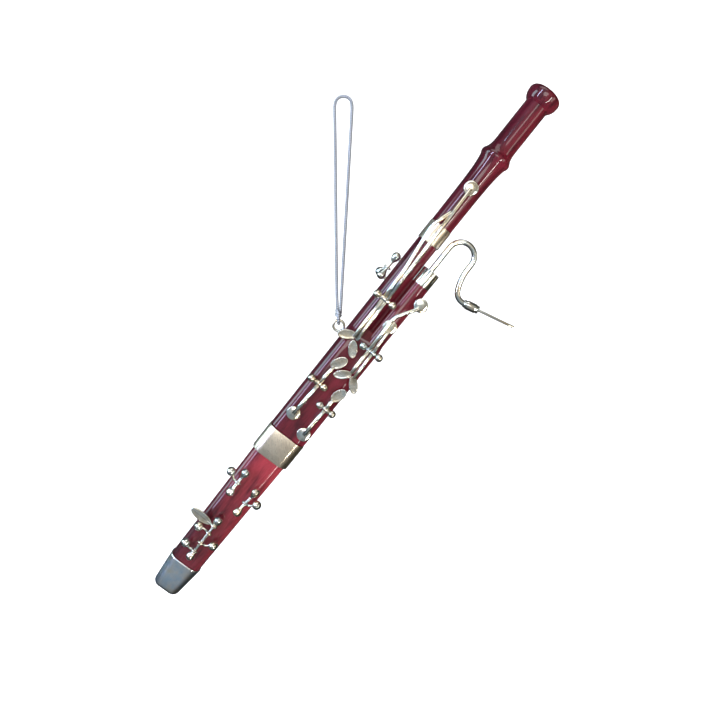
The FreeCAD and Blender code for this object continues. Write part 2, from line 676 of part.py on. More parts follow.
def cross_pin(name, z, hub, spare, root):
    """A pin between two ball posts that stand END_PLAY off the ends of the hub between them.

    hub is the hub's low and high x, spare the extra room at each end of it, and root gives the
    root of a post at x. A fixed washer fills the room where it is wider than the washer.
    """
    low = hub[0] - END_PLAY - spare[0] - BALL_D / 2
    high = hub[1] + END_PLAY + spare[1] + BALL_D / 2
    pin = bar(V(low, KEY_Y, z), V(high, KEY_Y, z), PIN_D)
    spots = [(V(x, KEY_Y, z), *root(x)) for x in (low, high)]
    made = {name + "_posts": (posts(spots, BALL_D, pin), METAL)}
    if spare[0] > WASHER_THICK:
        start = hub[0] - END_PLAY - WASHER_THICK
        pin = pin.fuse(bar(V(start, KEY_Y, z), V(start + WASHER_THICK, KEY_Y, z), WASHER_D))
    if spare[1] > WASHER_THICK:
        start = hub[1] + END_PLAY
        pin = pin.fuse(bar(V(start, KEY_Y, z), V(start + WASHER_THICK, KEY_Y, z), WASHER_D))
    made[name + "_pin"] = (pin, METAL)
    return made, spots


# ---- small keys on axles along the body ----
class Axle:
    """An axle along the body between two ball posts. ends are (x, z) of the two balls."""

    def __init__(self, name, ends, height, root, sideways=False):
        self.name, self.ends, self.root, self.sideways = name, ends, root, sideways
        self.height = height

    def place(self, x, z, out=0.0):
        """A point at x, z on the axle's plane, moved out from the wood by out."""
        if self.sideways:
            return V(x - out, 0, z)
        return V(x, self.height - out, z)

    def points(self):
        return [self.place(x, z) for x, z in self.ends]

    def shaft(self):
        low, high = self.points()
        return bar(low, high, AXLE_D)

    def at(self, z):
        """The point of the axle at height z."""
        low, high = self.points()
        return low + (high - low) * ((z - low.z) / (high.z - low.z))

    def collar(self, z):
        """A collar that turns on the axle at height z, and its running hole."""
        low, high = self.points()
        along = (high - low).normalize()
        middle = self.at(z)
        half = along * (COLLAR_THICK / 2)
        ring = bar(middle - half, middle + half, COLLAR_D)
        hole = bar(middle - along * 2, middle + along * 2, AXLE_D + 2 * TURN_GAP)
        return ring, hole

    def key(self, z, tip):
        """A collar with a curved arm and a ball at its end."""
        ring, hole = self.collar(z)
        start = self.at(z)
        side = V(tip.x - start.x, tip.y - start.y, 0).normalize()
        root = start + side * (COLLAR_D / 2 - 0.1)
        elbow = root + side * 0.55 + V(0, 0, -0.35 if tip.z > z else 0.35)
        arm = bent([root, elbow, tip], [0.35], ARM_D)
        return ring.fuse([arm, ball(tip, TIP_BALL_D)]).cut(hole)

    def nodes(self):
        spots = [(point, *self.root(point)) for point in self.points()]
        return {
            self.name + "_posts": (posts(spots, AXLE_BALL_D, self.shaft()), METAL),
            self.name + "_axle": (self.shaft(), METAL),
        }, spots


def boot_section(z):
    """Width and depth of the boot at height z."""
    share = (z - CAP_HEIGHT) / BOOT_LENGTH
    width = BOOT_FOOT_WIDTH + (BOOT_TOP_WIDTH - BOOT_FOOT_WIDTH) * share
    depth = BOOT_FOOT_DEPTH + (BOOT_TOP_DEPTH - BOOT_FOOT_DEPTH) * share
    return width, depth


def boot_root(point):
    """Root of a post on the boot: straight in on the flat, towards the edge's centre beyond it."""
    width, depth = boot_section(point.z)
    radius = BOOT_ROUND * depth
    flat = width / 2 - radius
    if abs(point.x) <= flat:
        return (point.x, 0.0), depth / 2
    side = 1 if point.x > 0 else -1
    return (side * flat, -(depth / 2 - radius)), radius


AXLE_Y = -(BOOT_TOP_DEPTH / 2 + KEY_RISE + 0.1)

AXLES = {
    "boot_left": Axle("boot_left", [(-2.25, BAND_Z - 11.0), (-2.2, BAND_Z - 5.2)], AXLE_Y, boot_root),
    "boot_right": Axle("boot_right", [(1.85, BAND_Z - 13.9), (2.3, BAND_Z - 7.5)], AXLE_Y, boot_root),
    "boot_low": Axle("boot_low", [(-0.2, BAND_Z - 29.05), (-0.25, BAND_Z - 18.2)], AXLE_Y, boot_root),
    "long": Axle("long", [(LONG_X - 3.6, SHOULDER_Z + 13.5), (LONG_X - 3.45, SHOULDER_Z + 18.6)],
                 0, lambda point: tube_root(point.x), True),
}

# name of each small key: its axle, the height of its collar, and its ball's x, z and distance out
SMALL_KEYS = {
    "boot_left_key": ("boot_left", BAND_Z - 8.0, -4.9, BAND_Z - 7.0, -0.3),
    "boot_right_key": ("boot_right", BAND_Z - 10.9, 4.35, BAND_Z - 9.9, -0.3),
    "boot_key_1": ("boot_low", BAND_Z - 21.8, -2.9, BAND_Z - 22.0, 0.0),
    "boot_key_2": ("boot_low", BAND_Z - 24.8, 2.4, BAND_Z - 23.8, 0.0),
    "boot_key_3": ("boot_low", BAND_Z - 27.3, -2.95, BAND_Z - 27.0, 0.0),
}


def small_keys():
    made = {}
    for name, (axle_name, z, x, tip_z, out) in SMALL_KEYS.items():
        axle = AXLES[axle_name]
        made[name] = (axle.key(z, axle.place(x, tip_z, out)), METAL)
    side = AXLES["long"]
    tip = side.at(SHOULDER_Z + 13.9) + V(-0.55, 2.0, 0)
    made["long_key"] = (side.key(SHOULDER_Z + 15.6, tip), METAL)
    return made


def paddle():
    """Long oval thumb plate on a collar of the lowest axle, pointing left past the boot's side."""
    axle = AXLES["boot_low"]
    z = BAND_Z - PADDLE_BELOW_BAND
    ring, hole = axle.collar(z)
    root = axle.at(z)
    middle = V(root.x - 0.9 - PADDLE_LENGTH / 2, root.y, z + 0.1)
    plate = oval(middle, PADDLE_LENGTH, PADDLE_WIDTH, TOUCH_THICK, -3)
    arm = bar(root - V(0.6, 0, 0), root - V(2.0, 0, 0), ARM_D)
    return {"thumb_paddle": (ring.fuse([arm, plate]).cut(hole), METAL)}


# ---- screw eye ----
def screw_eye():
    centre = V(EYE_X, 0, EYE_Z)
    ring = Part.makeTorus(EYE_MEAN_R, EYE_WIRE / 2, centre, V(0, 1, 0))
    root = centre + V(EYE_MEAN_R, 0, 0)
    shank = bar(root, V(-BODY_WIDTH / 2 + EYE_SHANK_SET, 0, EYE_Z), EYE_WIRE)
    return ring.fuse(shank).removeSplitter(), shank


# ---- the instrument, upright ----
def instrument():
    """Every node of the hanging instrument, upright, as name: (shape, density)."""
    made = {}
    stems = []

    def carry(result):
        nodes, spots = result
        made.update(nodes)
        stems.extend(stem(*spot) for spot in spots)

    fork = fork_lever()
    wing_upper, wing_lower = wing_levers()
    left, right = body_levers()
    wing_hub = (wing_upper.hub[0], wing_lower.hub[1])
    carry(cross_pin("fork", fork.pivot_z, fork.hub, (0.0, 0.0), tube_root))
    carry(cross_pin("wing", wing_upper.pivot_z, wing_hub, (0.05, 0.1), body_root))
    carry(cross_pin("left", left.pivot_z, left.hub, (0.4, 0.0), body_root))
    carry(cross_pin("right", right.pivot_z, right.hub, (0.0, 0.35), body_root))
    for lever in (fork, wing_upper, wing_lower, left, right):
        made.update(lever.nodes())
    for axle in AXLES.values():
        carry(axle.nodes())
    made.update(small_keys())
    made.update(paddle())
    eye, shank = screw_eye()
    made["screw_eye"] = (eye, METAL)
    stems.append(shank)
    made["boot"] = (boot().cut(stems), WOOD)
    made["upper_body"] = (upper_body().cut(stems), WOOD)
    made["bell"] = (bell(), WOOD)
    made["boot_cap"] = (boot_cap(), METAL)
    made["band"] = (band(), BRASS)
    made["ferrule"] = (ferrule(), BRASS)
    made["wing_socket"] = (wing_socket(), METAL)
    made["bocal"] = (bocal(), METAL)
    made["bocal_sleeve"] = (bocal_sleeve(), METAL)
    made["tip_rod"] = (tip_rod(), METAL)
    return made


def balance(made):
    """Centre of mass of the hanging instrument, and its mass in grams."""
    mass, moment = 0.0, V(0, 0, 0)
    for shape, density in made.values():
        for solid in shape.Solids:
            grams = solid.Volume * density * 1e-6
            mass += grams
            moment += solid.CenterOfMass * grams
    return moment * (1 / mass), mass


def hanging(made):
    """The placement that hangs the upright instrument from its eye, and its lean in degrees."""
    centre, _ = balance(made)
    lean = math.degrees(math.atan2(centre.x - EYE_X, EYE_Z - centre.z))
    turn = FreeCAD.Rotation(V(0, 1, 0), lean)
    eye = turn.multVec(V(EYE_X, 0, EYE_Z))
    return FreeCAD.Placement(V(0, 0, -THREAD_DROP) - eye, turn), lean


# ---- thread: drawn where it hangs, straight down from the hook ----
LOOP_TOP = THREAD_D / 2
KNOT_Z = KNOT_ABOVE_EYE - THREAD_DROP
WRAP_R = EYE_WIRE / 2 + THREAD_D / 2 + THREAD_GAP
WRAP_Z = EYE_MEAN_R - THREAD_DROP       # middle of the eye's wire, which the thread goes round
BEND_SHARE = 0.98         # leaves a short straight between the two bends of a turn-back


def turn_back(radius, height):
    """Half width of the corners of a route that turns back round a rod.

    Each leg starts THREAD_NECK from the middle, height away from the rod's middle, and touches
    the circle of the given radius round it.
    """
    leg = math.sqrt(THREAD_NECK ** 2 + height ** 2 - radius ** 2)
    return radius * (height + radius) / (leg + THREAD_NECK)


def thread_routes():
    """Corner points of the long loop above the knot and of the short one round the eye's wire."""
    top = turn_back(THREAD_TOP_R, LOOP_TOP - THREAD_TOP_R - KNOT_Z)
    low = turn_back(WRAP_R, KNOT_Z - WRAP_Z)
    loop = [
        V(-THREAD_NECK, 0, KNOT_Z),
        V(-top, 0, LOOP_TOP),
        V(top, 0, LOOP_TOP),
        V(THREAD_NECK, 0, KNOT_Z),
    ]
    wrap = [
        V(0, -THREAD_NECK, KNOT_Z),
        V(0, -low, WRAP_Z - WRAP_R),
        V(0, low, WRAP_Z - WRAP_R),
        V(0, THREAD_NECK, KNOT_Z),
    ]
    return (loop, THREAD_TOP_R), (wrap, WRAP_R)


def knot():
    shape = ball(V(0, 0, 0), KNOT_D)
    stretch = FreeCAD.Matrix()
    stretch.scale(1, 1, KNOT_HEIGHT / KNOT_D)
    shape = shape.transformGeometry(stretch)
    shape.translate(V(0, 0, KNOT_Z))
    return shape


def thread():
    """The thread's solids: the long loop above the knot and the short one below it."""
    solids = []
    for points, radius in thread_routes():
        bend = BEND_SHARE * radius
        path = bent_path(points, [bend, bend])
        solid = piped(path, points[0], points[1] - points[0], THREAD_D)
        expected = math.pi * THREAD_D ** 2 / 4 * path.Length
        print("thread corners", [(round(p.x, 3), round(p.y, 3), round(p.z, 3)) for p in points])
        print(f"run {path.Length:.2f} mm, bends {bend:.2f} mm")
        print(f"volume {solid.Volume:.3f} of {expected:.3f} mm3")
        solids.extend(solid.cut(knot()).Solids)
    return Part.makeCompound(solids)


def main():
    os.makedirs("parts", exist_ok=True)
    made = instrument()
    centre, mass = balance(made)
    placement, lean = hanging(made)
    print(f"mass {mass:.2f} g, balance point {centre.x:.2f} {centre.y:.2f} {centre.z:.2f}")
    print(f"lean {lean:.2f} degrees")
    finished = {}
    for name, (shape, _) in made.items():
        shape.Placement = placement.multiply(shape.Placement)
        finished[name] = shape
    finished["thread"] = thread()
    finished["thread_knot"] = knot()
    for name, shape in finished.items():
        if not shape.isValid():
            raise ValueError(f"{name} is not a valid solid")
        shape.exportStep(f"parts/{name}.step")
    print(len(finished), "nodes")
    return finished


if __name__ == "__main__":
    main()
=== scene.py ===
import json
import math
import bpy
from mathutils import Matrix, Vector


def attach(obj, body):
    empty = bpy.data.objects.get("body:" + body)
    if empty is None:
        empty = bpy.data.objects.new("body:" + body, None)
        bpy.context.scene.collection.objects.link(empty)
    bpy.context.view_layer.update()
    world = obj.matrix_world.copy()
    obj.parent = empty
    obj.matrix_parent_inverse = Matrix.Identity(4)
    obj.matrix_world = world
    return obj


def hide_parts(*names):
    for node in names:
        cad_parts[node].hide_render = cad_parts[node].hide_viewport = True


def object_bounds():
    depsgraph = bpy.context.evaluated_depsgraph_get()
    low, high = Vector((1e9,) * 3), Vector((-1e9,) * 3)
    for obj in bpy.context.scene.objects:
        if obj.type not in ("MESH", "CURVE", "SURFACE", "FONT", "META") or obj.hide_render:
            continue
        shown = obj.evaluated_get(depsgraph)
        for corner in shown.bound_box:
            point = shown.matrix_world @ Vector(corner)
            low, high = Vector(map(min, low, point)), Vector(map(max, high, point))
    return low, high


bl_info = {
    "name": "Hanging Bassoon Ornament",
    "version": (1, 0, 0),
    "blender": (4, 5, 0),
    "location": "View3D > Sidebar > Bassoon",
    "description": "Builds the looks of a miniature bassoon that hangs from a thread",
    "category": "Object",
}

import bmesh
import bpy
from bpy.props import FloatProperty, FloatVectorProperty, PointerProperty
from mathutils import Matrix, Vector
from mathutils.geometry import interpolate_bezier

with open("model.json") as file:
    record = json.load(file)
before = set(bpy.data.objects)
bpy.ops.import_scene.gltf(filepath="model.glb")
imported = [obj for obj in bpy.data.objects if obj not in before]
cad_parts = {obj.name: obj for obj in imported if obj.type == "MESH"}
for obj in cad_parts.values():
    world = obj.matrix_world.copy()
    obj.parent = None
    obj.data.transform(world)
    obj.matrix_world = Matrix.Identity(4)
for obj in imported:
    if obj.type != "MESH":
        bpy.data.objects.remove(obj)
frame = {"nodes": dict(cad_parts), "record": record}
CAD_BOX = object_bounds()

MM = 0.001
MOUNTS = {mount["name"]: mount for mount in frame["record"]["mounts"]}
FOOT = Vector(MOUNTS["cap_foot"]["pos_m"])
UP = -Vector(MOUNTS["cap_foot"]["axis"])
LEAN = math.atan2(UP.x, UP.z)

# The instrument is modelled upright in millimetres, from its foot, and this puts it where it hangs.
HANG = Matrix.Translation(FOOT) @ Matrix.Rotation(LEAN, 4, "Y") @ Matrix.Scale(MM, 4)

# heights of the joints along the instrument, in millimetres
CAP_TOP = 8.9
BAND_FOOT = 41.3
BODY_FOOT = 48.0
SHOULDER = 75.5
SOCKET_TOP = 96.35
FERRULE_FOOT = 100.5
BELL_FOOT = 105.0

# lines that run along the instrument
LONG_X = -2.175
WING_X = 2.3
WING_Y = -0.7
WING_KEY_X = 2.5
KEY_Y = -4.0
AXLE_Y = -3.875

# sizes of the fittings and the small round things
CAP_FOOT_WIDTH, CAP_WIDENS = 6.4, 1.7
CAP_FOOT_DEPTH, CAP_DEEPENS = 4.2, 1.3
OVAL_SHARE = 0.42         # corner radius over depth, for the cap and the boot
BAND_WIDTH, BAND_DEPTH, BAND_ROUND = 9.44, 5.84, 2.42
FERRULE_R = 2.65
LONG_TUBE_R = 2.425
SOCKET_R = 2.05
AXLE_BALL_R = 0.975
KEY_BALL_R = 1.07
HUB_R = 0.6
HUB_BORE_R = 0.25
STEM_R = 0.35
BODY_HALF_DEPTH, BODY_CORNER_R = 2.8, 2.3
BOOT_LOW_WIDTH, BOOT_WIDENS = 7.6, 0.9
BOOT_LOW_DEPTH, BOOT_DEEPENS = 5.0, 0.15

# the thread's plies, as shares of its diameter
PLY_R = 0.29
PLY_OFFSET = 0.21


# ---- sizes and colours
class WoodSettings(bpy.types.PropertyGroup):
    deep: FloatVectorProperty(
        name="Deep stain", description="Darkest colour of the stained wood",
        default=(0.040, 0.003, 0.009), size=3, min=0.0, max=1.0, subtype="COLOR")
    stain: FloatVectorProperty(
        name="Stain", description="Main colour of the upper joints and bell",
        default=(0.165, 0.009, 0.020), size=3, min=0.0, max=1.0, subtype="COLOR")
    boot_stain: FloatVectorProperty(
        name="Boot stain", description="Main colour of the boot, which is a little redder",
        default=(0.34, 0.030, 0.042), size=3, min=0.0, max=1.0, subtype="COLOR")
    streak: FloatProperty(
        name="Streak length", description="How much longer the grain's streaks are than wide",
        default=9.0, min=1.0, max=40.0)
    gloss: FloatProperty(
        name="Varnish roughness", description="Roughness of the clear varnish",
        default=0.035, min=0.0, max=1.0, subtype="FACTOR")


class PlateSettings(bpy.types.PropertyGroup):
    bright: FloatVectorProperty(
        name="Bright plate", description="Colour of clean plated metal",
        default=(0.90, 0.87, 0.79), size=3, min=0.0, max=1.0, subtype="COLOR")
    dull: FloatVectorProperty(
        name="Dull plate", description="Colour of the metal where it has dulled",
        default=(0.60, 0.58, 0.50), size=3, min=0.0, max=1.0, subtype="COLOR")
    roughness: FloatProperty(
        name="Plate roughness", description="Lowest roughness of the plated keys",
        default=0.13, min=0.0, max=1.0, subtype="FACTOR")
    cap: FloatVectorProperty(
        name="Cap plate", description="Cool colour of the boot cap",
        default=(0.88, 0.94, 1.0), size=3, min=0.0, max=1.0, subtype="COLOR")
    brass: FloatVectorProperty(
        name="Pale brass", description="Colour of the band and the ferrule",
        default=(0.97, 0.86, 0.68), size=3, min=0.0, max=1.0, subtype="COLOR")


class ThreadSettings(bpy.types.PropertyGroup):
    colour: FloatVectorProperty(
        name="Thread colour", description="Colour of the metallic thread",
        default=(0.74, 0.78, 0.84), size=3, min=0.0, max=1.0, subtype="COLOR")
    diameter: FloatProperty(
        name="Thread diameter", description="Thickness of the twisted thread",
        default=0.75 * MM, min=0.0001, unit="LENGTH")
    pitch: FloatProperty(
        name="Twist pitch", description="Length of one full turn of the thread's two plies",
        default=0.5 * MM, min=0.0002, unit="LENGTH")


class StageSettings(bpy.types.PropertyGroup):
    azimuth: FloatProperty(
        name="Camera azimuth", description="Direction the camera looks in, from straight along +Y",
        default=math.radians(-0.30), subtype="ANGLE")
    elevation: FloatProperty(
        name="Camera elevation", description="How far the camera looks down",
        default=math.radians(9.98), subtype="ANGLE")
    distance: FloatProperty(
        name="Camera distance", description="From the camera to the middle of the view",
        default=0.144, min=0.01, unit="LENGTH")
    lens: FloatProperty(
        name="Lens", description="Focal length in millimetres on a 36 mm sensor",
        default=32.43, min=10.0, max=200.0)
    daylight: FloatProperty(
        name="Daylight", description="Strength of the light from all round",
        default=0.72, min=0.0)
    floor: FloatVectorProperty(
        name="Floor colour", description="Colour of the plain floor and wall",
        default=(0.93, 0.93, 0.93), size=3, min=0.0, max=1.0, subtype="COLOR")


def wood():
    return bpy.context.scene.bassoon_wood


def plate_settings():
    return bpy.context.scene.bassoon_plate


# ---- mesh helpers
def unique(items):
    """The items once each, in their first order, so that every run builds the same mesh."""
    return list(dict.fromkeys(items))


def placed(name, data):
    """A new object of this data in the scene, at the origin."""
    thing = bpy.data.objects.new(name, data)
    bpy.context.scene.collection.objects.link(thing)
    return thing


def circle_frame(tangent, previous):
    """A frame square to tangent whose sides turn as little as possible from the last one."""
    side = previous - tangent * previous.dot(tangent)
    side.normalize()
    return side, tangent.cross(side)


def sweep(bm, points, radii, sides=24):
    """A closed round tube along points, with one radius or one for each point."""
    points = [Vector(point) for point in points]
    if not isinstance(radii, (list, tuple)):
        radii = [radii] * len(points)
    side = Vector((0.0, 1.0, 0.0))
    if abs((points[1] - points[0]).normalized().y) > 0.9:
        side = Vector((1.0, 0.0, 0.0))
    last = None
    verts = edges = None
    for i, point in enumerate(points):
        ahead = points[min(i + 1, len(points) - 1)]
        behind = points[max(i - 1, 0)]
        tangent = (ahead - behind).normalized()
        side, other = circle_frame(tangent, side)
        r = radii[i]
        turn = Matrix((side * r, other * r, tangent * r)).transposed()
        place = Matrix.Translation(point) @ turn.to_4x4()
        if last is None:
            made = bmesh.ops.create_circle(bm, cap_ends=False, segments=sides, radius=1.0, matrix=place)
            verts = made["verts"]
            edges = unique(edge for vert in verts for edge in vert.link_edges)
            bmesh.ops.contextual_create(bm, geom=edges)
        else:
            made = bmesh.ops.extrude_edge_only(bm, edges=edges)["geom"]
            verts = [item for item in made if isinstance(item, bmesh.types.BMVert)]
            edges = [item for item in made if isinstance(item, bmesh.types.BMEdge)
                     and item.verts[0] in verts and item.verts[1] in verts]
            bmesh.ops.transform(bm, matrix=place @ last.inverted(), verts=verts)
        last = place
    bmesh.ops.contextual_create(bm, geom=edges)


def ball(bm, centre, radius, around=36):
    bmesh.ops.create_uvsphere(
        bm, u_segments=around, v_segments=around // 2, radius=radius,
        matrix=Matrix.Translation(Vector(centre)))


def rod_with_ends(bm, points, radius, sides=24):
    """A tube with a half-round end at each of its ends."""
    points = [Vector(point) for point in points]
    first = (points[1] - points[0]).normalized()
    last = (points[-1] - points[-2]).normalized()
    path, radii = [], []
    for step in range(6):
        angle = math.radians(8 + 14 * step)
        path.append(points[0] - first * radius * math.cos(angle))
        radii.append(radius * math.sin(angle))
    for point in points:
        path.append(point)
        radii.append(radius)
    for step in range(5, -1, -1):
        angle = math.radians(8 + 14 * step)
        path.append(points[-1] + last * radius * math.cos(angle))
        radii.append(radius * math.sin(angle))
    sweep(bm, path, radii, sides)


def bent(points, bends, steps=8):
    """Points along straight runs with a round bend of the given radius at each inner corner."""
    points = [Vector(point) for point in points]
    path = [points[0]]
    for i, radius in enumerate(bends, 1):
        back = (points[i - 1] - points[i]).normalized()
        ahead = (points[i + 1] - points[i]).normalized()
        half = back.angle(ahead) / 2
        reach = radius / math.tan(half)
        centre = points[i] + (back + ahead).normalized() * (radius / math.sin(half))
        start = points[i] + back * reach - centre
        end = points[i] + ahead * reach - centre
        for step in range(steps + 1):
            path.append(centre + start.lerp(end, step / steps).normalized() * radius)
    path.append(points[-1])
    return path


def turned(bm, profile, matrix, steps=64):
    """A solid turned about Z from a profile of (radius, height) points that starts and ends on it."""
    verts = [bm.verts.new((r, 0.0, z)) for r, z in profile]
    edges = [bm.edges.new(pair) for pair in zip(verts, verts[1:])]
    bmesh.ops.spin(
        bm, geom=verts + edges, cent=(0, 0, 0), axis=(0, 0, 1), dvec=(0, 0, 0),
        angle=2 * math.pi, steps=steps, use_merge=True, use_duplicate=False)
    made = unique(v for vert in verts if vert.is_valid for v in linked(vert))
    bmesh.ops.transform(bm, matrix=matrix, verts=made)
    bmesh.ops.remove_doubles(bm, verts=made, dist=1e-4)


def linked(vert):
    """Every vertex that is joined to this one, in the order that they are reached."""
    found = {vert: None}
    queue = [vert]
    while queue:
        for edge in queue.pop().link_edges:
            for other in edge.verts:
                if other not in found:
                    found[other] = None
                    queue.append(other)
    return list(found)


def facing(point, tilt=0.0):
    """Puts a thing drawn flat, with +Z its front, at point so that it faces -Y, turned by tilt."""
    return (Matrix.Translation(Vector(point)) @ Matrix.Rotation(math.pi / 2, 4, "X")
            @ Matrix.Rotation(tilt, 4, "Z"))


def along(start, end):
    """Puts a thing turned about Z at start, with its axis towards end."""
    direction = (Vector(end) - Vector(start)).normalized()
    return Matrix.Translation(Vector(start)) @ direction.to_track_quat("Z", "Y").to_matrix().to_4x4()


def rounded_outline(bm, width, depth, radius, z, steps=10):
    """A ring of vertices round a rounded rectangle."""
    made = bmesh.ops.create_circle(bm, cap_ends=False, segments=4 * steps, radius=1.0)
    a, b = width / 2 - radius, depth / 2 - radius
    for vert in made["verts"]:
        x, y = vert.co.x, vert.co.y
        vert.co = (x * radius + math.copysign(a, x), y * radius + math.copysign(b, y), z)
    return unique(edge for vert in made["verts"] for edge in vert.link_edges)


def skin(bm, sections):
    """Joins rounded rectangles, each (width, depth, radius, z), into one closed wall."""
    rings = [rounded_outline(bm, *section) for section in sections]
    for low, high in zip(rings, rings[1:]):
        bmesh.ops.bridge_loops(bm, edges=low + high)
    return rings


def finish_piece(bm, name, body, coat, nodes=(), sharp=32.0, matrix=HANG, outward=True):
    """Makes the bmesh a named object in place with a finish, smooth but for its sharp edges."""
    if outward:
        bmesh.ops.recalc_face_normals(bm, faces=bm.faces[:])
    limit = math.radians(sharp)
    for face in bm.faces:
        face.smooth = True
    for edge in bm.edges:
        if len(edge.link_faces) == 2 and edge.calc_face_angle(0.0) > limit:
            edge.smooth = False
    bmesh.ops.transform(bm, matrix=matrix, verts=bm.verts[:])
    mesh = bpy.data.meshes.new(name)
    bm.to_mesh(mesh)
    bm.free()
    piece = placed(name, mesh)
    mesh.materials.append(finish(coat))
    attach(piece, body)
    if nodes:
        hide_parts(*nodes)
    return piece


def smoothed(node, name, body, coat, sharp=28.0):
    """A copy of a CAD node with its loose triangles joined, so that it shades smoothly."""
    bm = bmesh.new()
    bm.from_mesh(frame["nodes"][node].data)
    bmesh.ops.remove_doubles(bm, verts=bm.verts[:], dist=2e-7)
    return finish_piece(bm, name, body, coat, [node], sharp, Matrix.Identity(4), False)


# ---- materials
class Nodes:
    """Short calls for the node tree of a material or a world."""

    def __init__(self, owner):
        owner.use_nodes = True
        self.owner = owner
        self.tree = owner.node_tree

    def add(self, kind, **values):
        """A new node, with inputs of these names fed and its own settings set."""
        node = self.tree.nodes.new(kind)
        for key, value in values.items():
            if key[0].islower():
                setattr(node, key, value)
            else:
                self.supply(node.inputs[key.replace("_", " ")], value)
        return node

    def supply(self, target, value):
        """Gives an input a node's output or a plain value."""
        if isinstance(value, bpy.types.NodeSocket):
            self.join(value, target)
        else:
            target.default_value = value

    def feed(self, **values):
        """Supplies inputs of the shader."""
        shader = self.tree.nodes["Principled BSDF"]
        for key, value in values.items():
            self.supply(shader.inputs[key.replace("_", " ")], value)

    def join(self, output, target):
        self.tree.links.new(output, target)

    def instrument_space(self, stretch=(1.0, 1.0, 1.0), turn=-LEAN, origin=FOOT):
        """Object coordinates in millimetres from the foot, with Z along the instrument, stretched."""
        coordinate = self.add("ShaderNodeTexCoord").outputs["Object"]
        moved = -(Matrix.Rotation(turn, 3, "Y") @ origin) / MM
        upright = self.add("ShaderNodeMapping", Vector=coordinate, Location=moved,
                           Rotation=(0.0, turn, 0.0), Scale=(1.0 / MM, 1.0 / MM, 1.0 / MM))
        drawn = self.add("ShaderNodeMapping", Vector=upright.outputs["Vector"], Scale=stretch)
        return drawn.outputs["Vector"]

    def noise(self, vector, scale, detail=3.0, roughness=0.55):
        return self.add("ShaderNodeTexNoise", Vector=vector, Scale=scale, Detail=detail,
                        Roughness=roughness).outputs["Fac"]

    def ramp(self, value, stops):
        """A colour ramp through (position, colour) stops."""
        node = self.add("ShaderNodeValToRGB")
        band = node.color_ramp
        while len(band.elements) < len(stops):
            band.elements.new(0.5)
        for element, (position, colour) in zip(band.elements, stops):
            element.position = position
            element.color = (*colour, 1.0)
        self.join(value, node.inputs["Fac"])
        return node.outputs["Color"]

    def spread(self, value, low, high, start=0.0, end=1.0):
        """Maps a value between start and end to low and high."""
        return self.add("ShaderNodeMapRange", Value=value, From_Min=start, From_Max=end,
                        To_Min=low, To_Max=high).outputs["Result"]

    def blend(self, factor, first, second, mode="MIX"):
        node = self.add("ShaderNodeMix", data_type="RGBA", blend_type=mode)
        for socket, value in (("A", first), ("B", second)):
            target = [s for s in node.inputs if s.name == socket and s.type == "RGBA"][0]
            if isinstance(value, (tuple, list)):
                target.default_value = (*value, 1.0)
            else:
                self.join(value, target)
        weight = [s for s in node.inputs if s.name == "Factor" and s.type == "VALUE"][0]
        if isinstance(factor, float):
            weight.default_value = factor
        else:
            self.join(factor, weight)
        return [s for s in node.outputs if s.type == "RGBA"][0]

    def bump(self, height, strength, distance, normal=None):
        node = self.add("ShaderNodeBump", Strength=strength, Distance=distance, Height=height)
        if normal:
            self.join(normal, node.inputs["Normal"])
        return node.outputs["Normal"]


def varnished_wood(name, stain):
    """Stained wood under clear varnish: long soft streaks, fine pores, a slightly uneven coat, and painted
    shade darkening the left edge and the foot of the boot.
    """
    n = Nodes(bpy.data.materials.new(name))
    streaks = n.noise(n.instrument_space((1.0, 1.0, 1.0 / wood().streak)), 0.9, 4.0, 0.6)
    pores = n.noise(n.instrument_space((1.0, 1.0, 0.08)), 7.0, 3.0, 0.65)
    clouds = n.noise(n.instrument_space((1.0, 1.0, 0.35)), 0.16, 2.0, 0.5)
    bright = tuple(min(1.0, channel * 1.35) for channel in stain)
    base = n.ramp(streaks, [(0.25, tuple(wood().deep)), (0.5, tuple(stain)), (0.78, bright)])
    grain = n.ramp(pores, [(0.38, (0.55, 0.5, 0.5)), (0.56, (1.0, 1.0, 1.0))])
    shade = n.ramp(clouds, [(0.3, (0.72, 0.7, 0.72)), (0.65, (1.0, 1.0, 1.0))])
    place = n.add("ShaderNodeSeparateXYZ")
    n.join(n.instrument_space(), place.inputs["Vector"])
    # painted shade with a cool tint: the wood is darkened towards its left edge, where less light falls
    painted_left_shade_mask = n.spread(place.outputs["X"], 0.0, 1.0, -4.6, 4.6)
    edge = n.ramp(painted_left_shade_mask, [(0.05, (0.42, 0.46, 0.62)), (0.42, (0.92, 0.92, 0.94)), (0.8, (1.0, 1.0, 1.0))])
    # painted shade with a cool tint: the wood is darkened towards the foot of the boot, where less light
    # falls
    height = n.spread(place.outputs["Z"], 0.0, 1.0, CAP_TOP, BAND_FOOT)
    foot = n.ramp(height, [(0.0, (0.42, 0.48, 0.55)), (0.55, (0.72, 0.72, 0.76)), (1.0, (1.0, 1.0, 1.0))])
    wood_colour_and_painted_shade = n.blend(0.55, base, grain, "MULTIPLY")
    # the cloudy tone and both painted shades are multiplied in
    for other in (shade, edge, foot):
        wood_colour_and_painted_shade = n.blend(1.0, wood_colour_and_painted_shade, other, "MULTIPLY")
    ripple = n.noise(n.instrument_space((1.0, 1.0, 0.4)), 0.7, 2.0, 0.5)
    n.feed(Base_Color=wood_colour_and_painted_shade, Roughness=n.spread(streaks, 0.30, 0.46), Specular_IOR_Level=0.1,
           Coat_Weight=1.0, Coat_Roughness=wood().gloss, Coat_IOR=1.5,
           Normal=n.bump(pores, 0.06, 0.00001), Coat_Normal=n.bump(ripple, 0.06, 0.00003))
    return n.owner


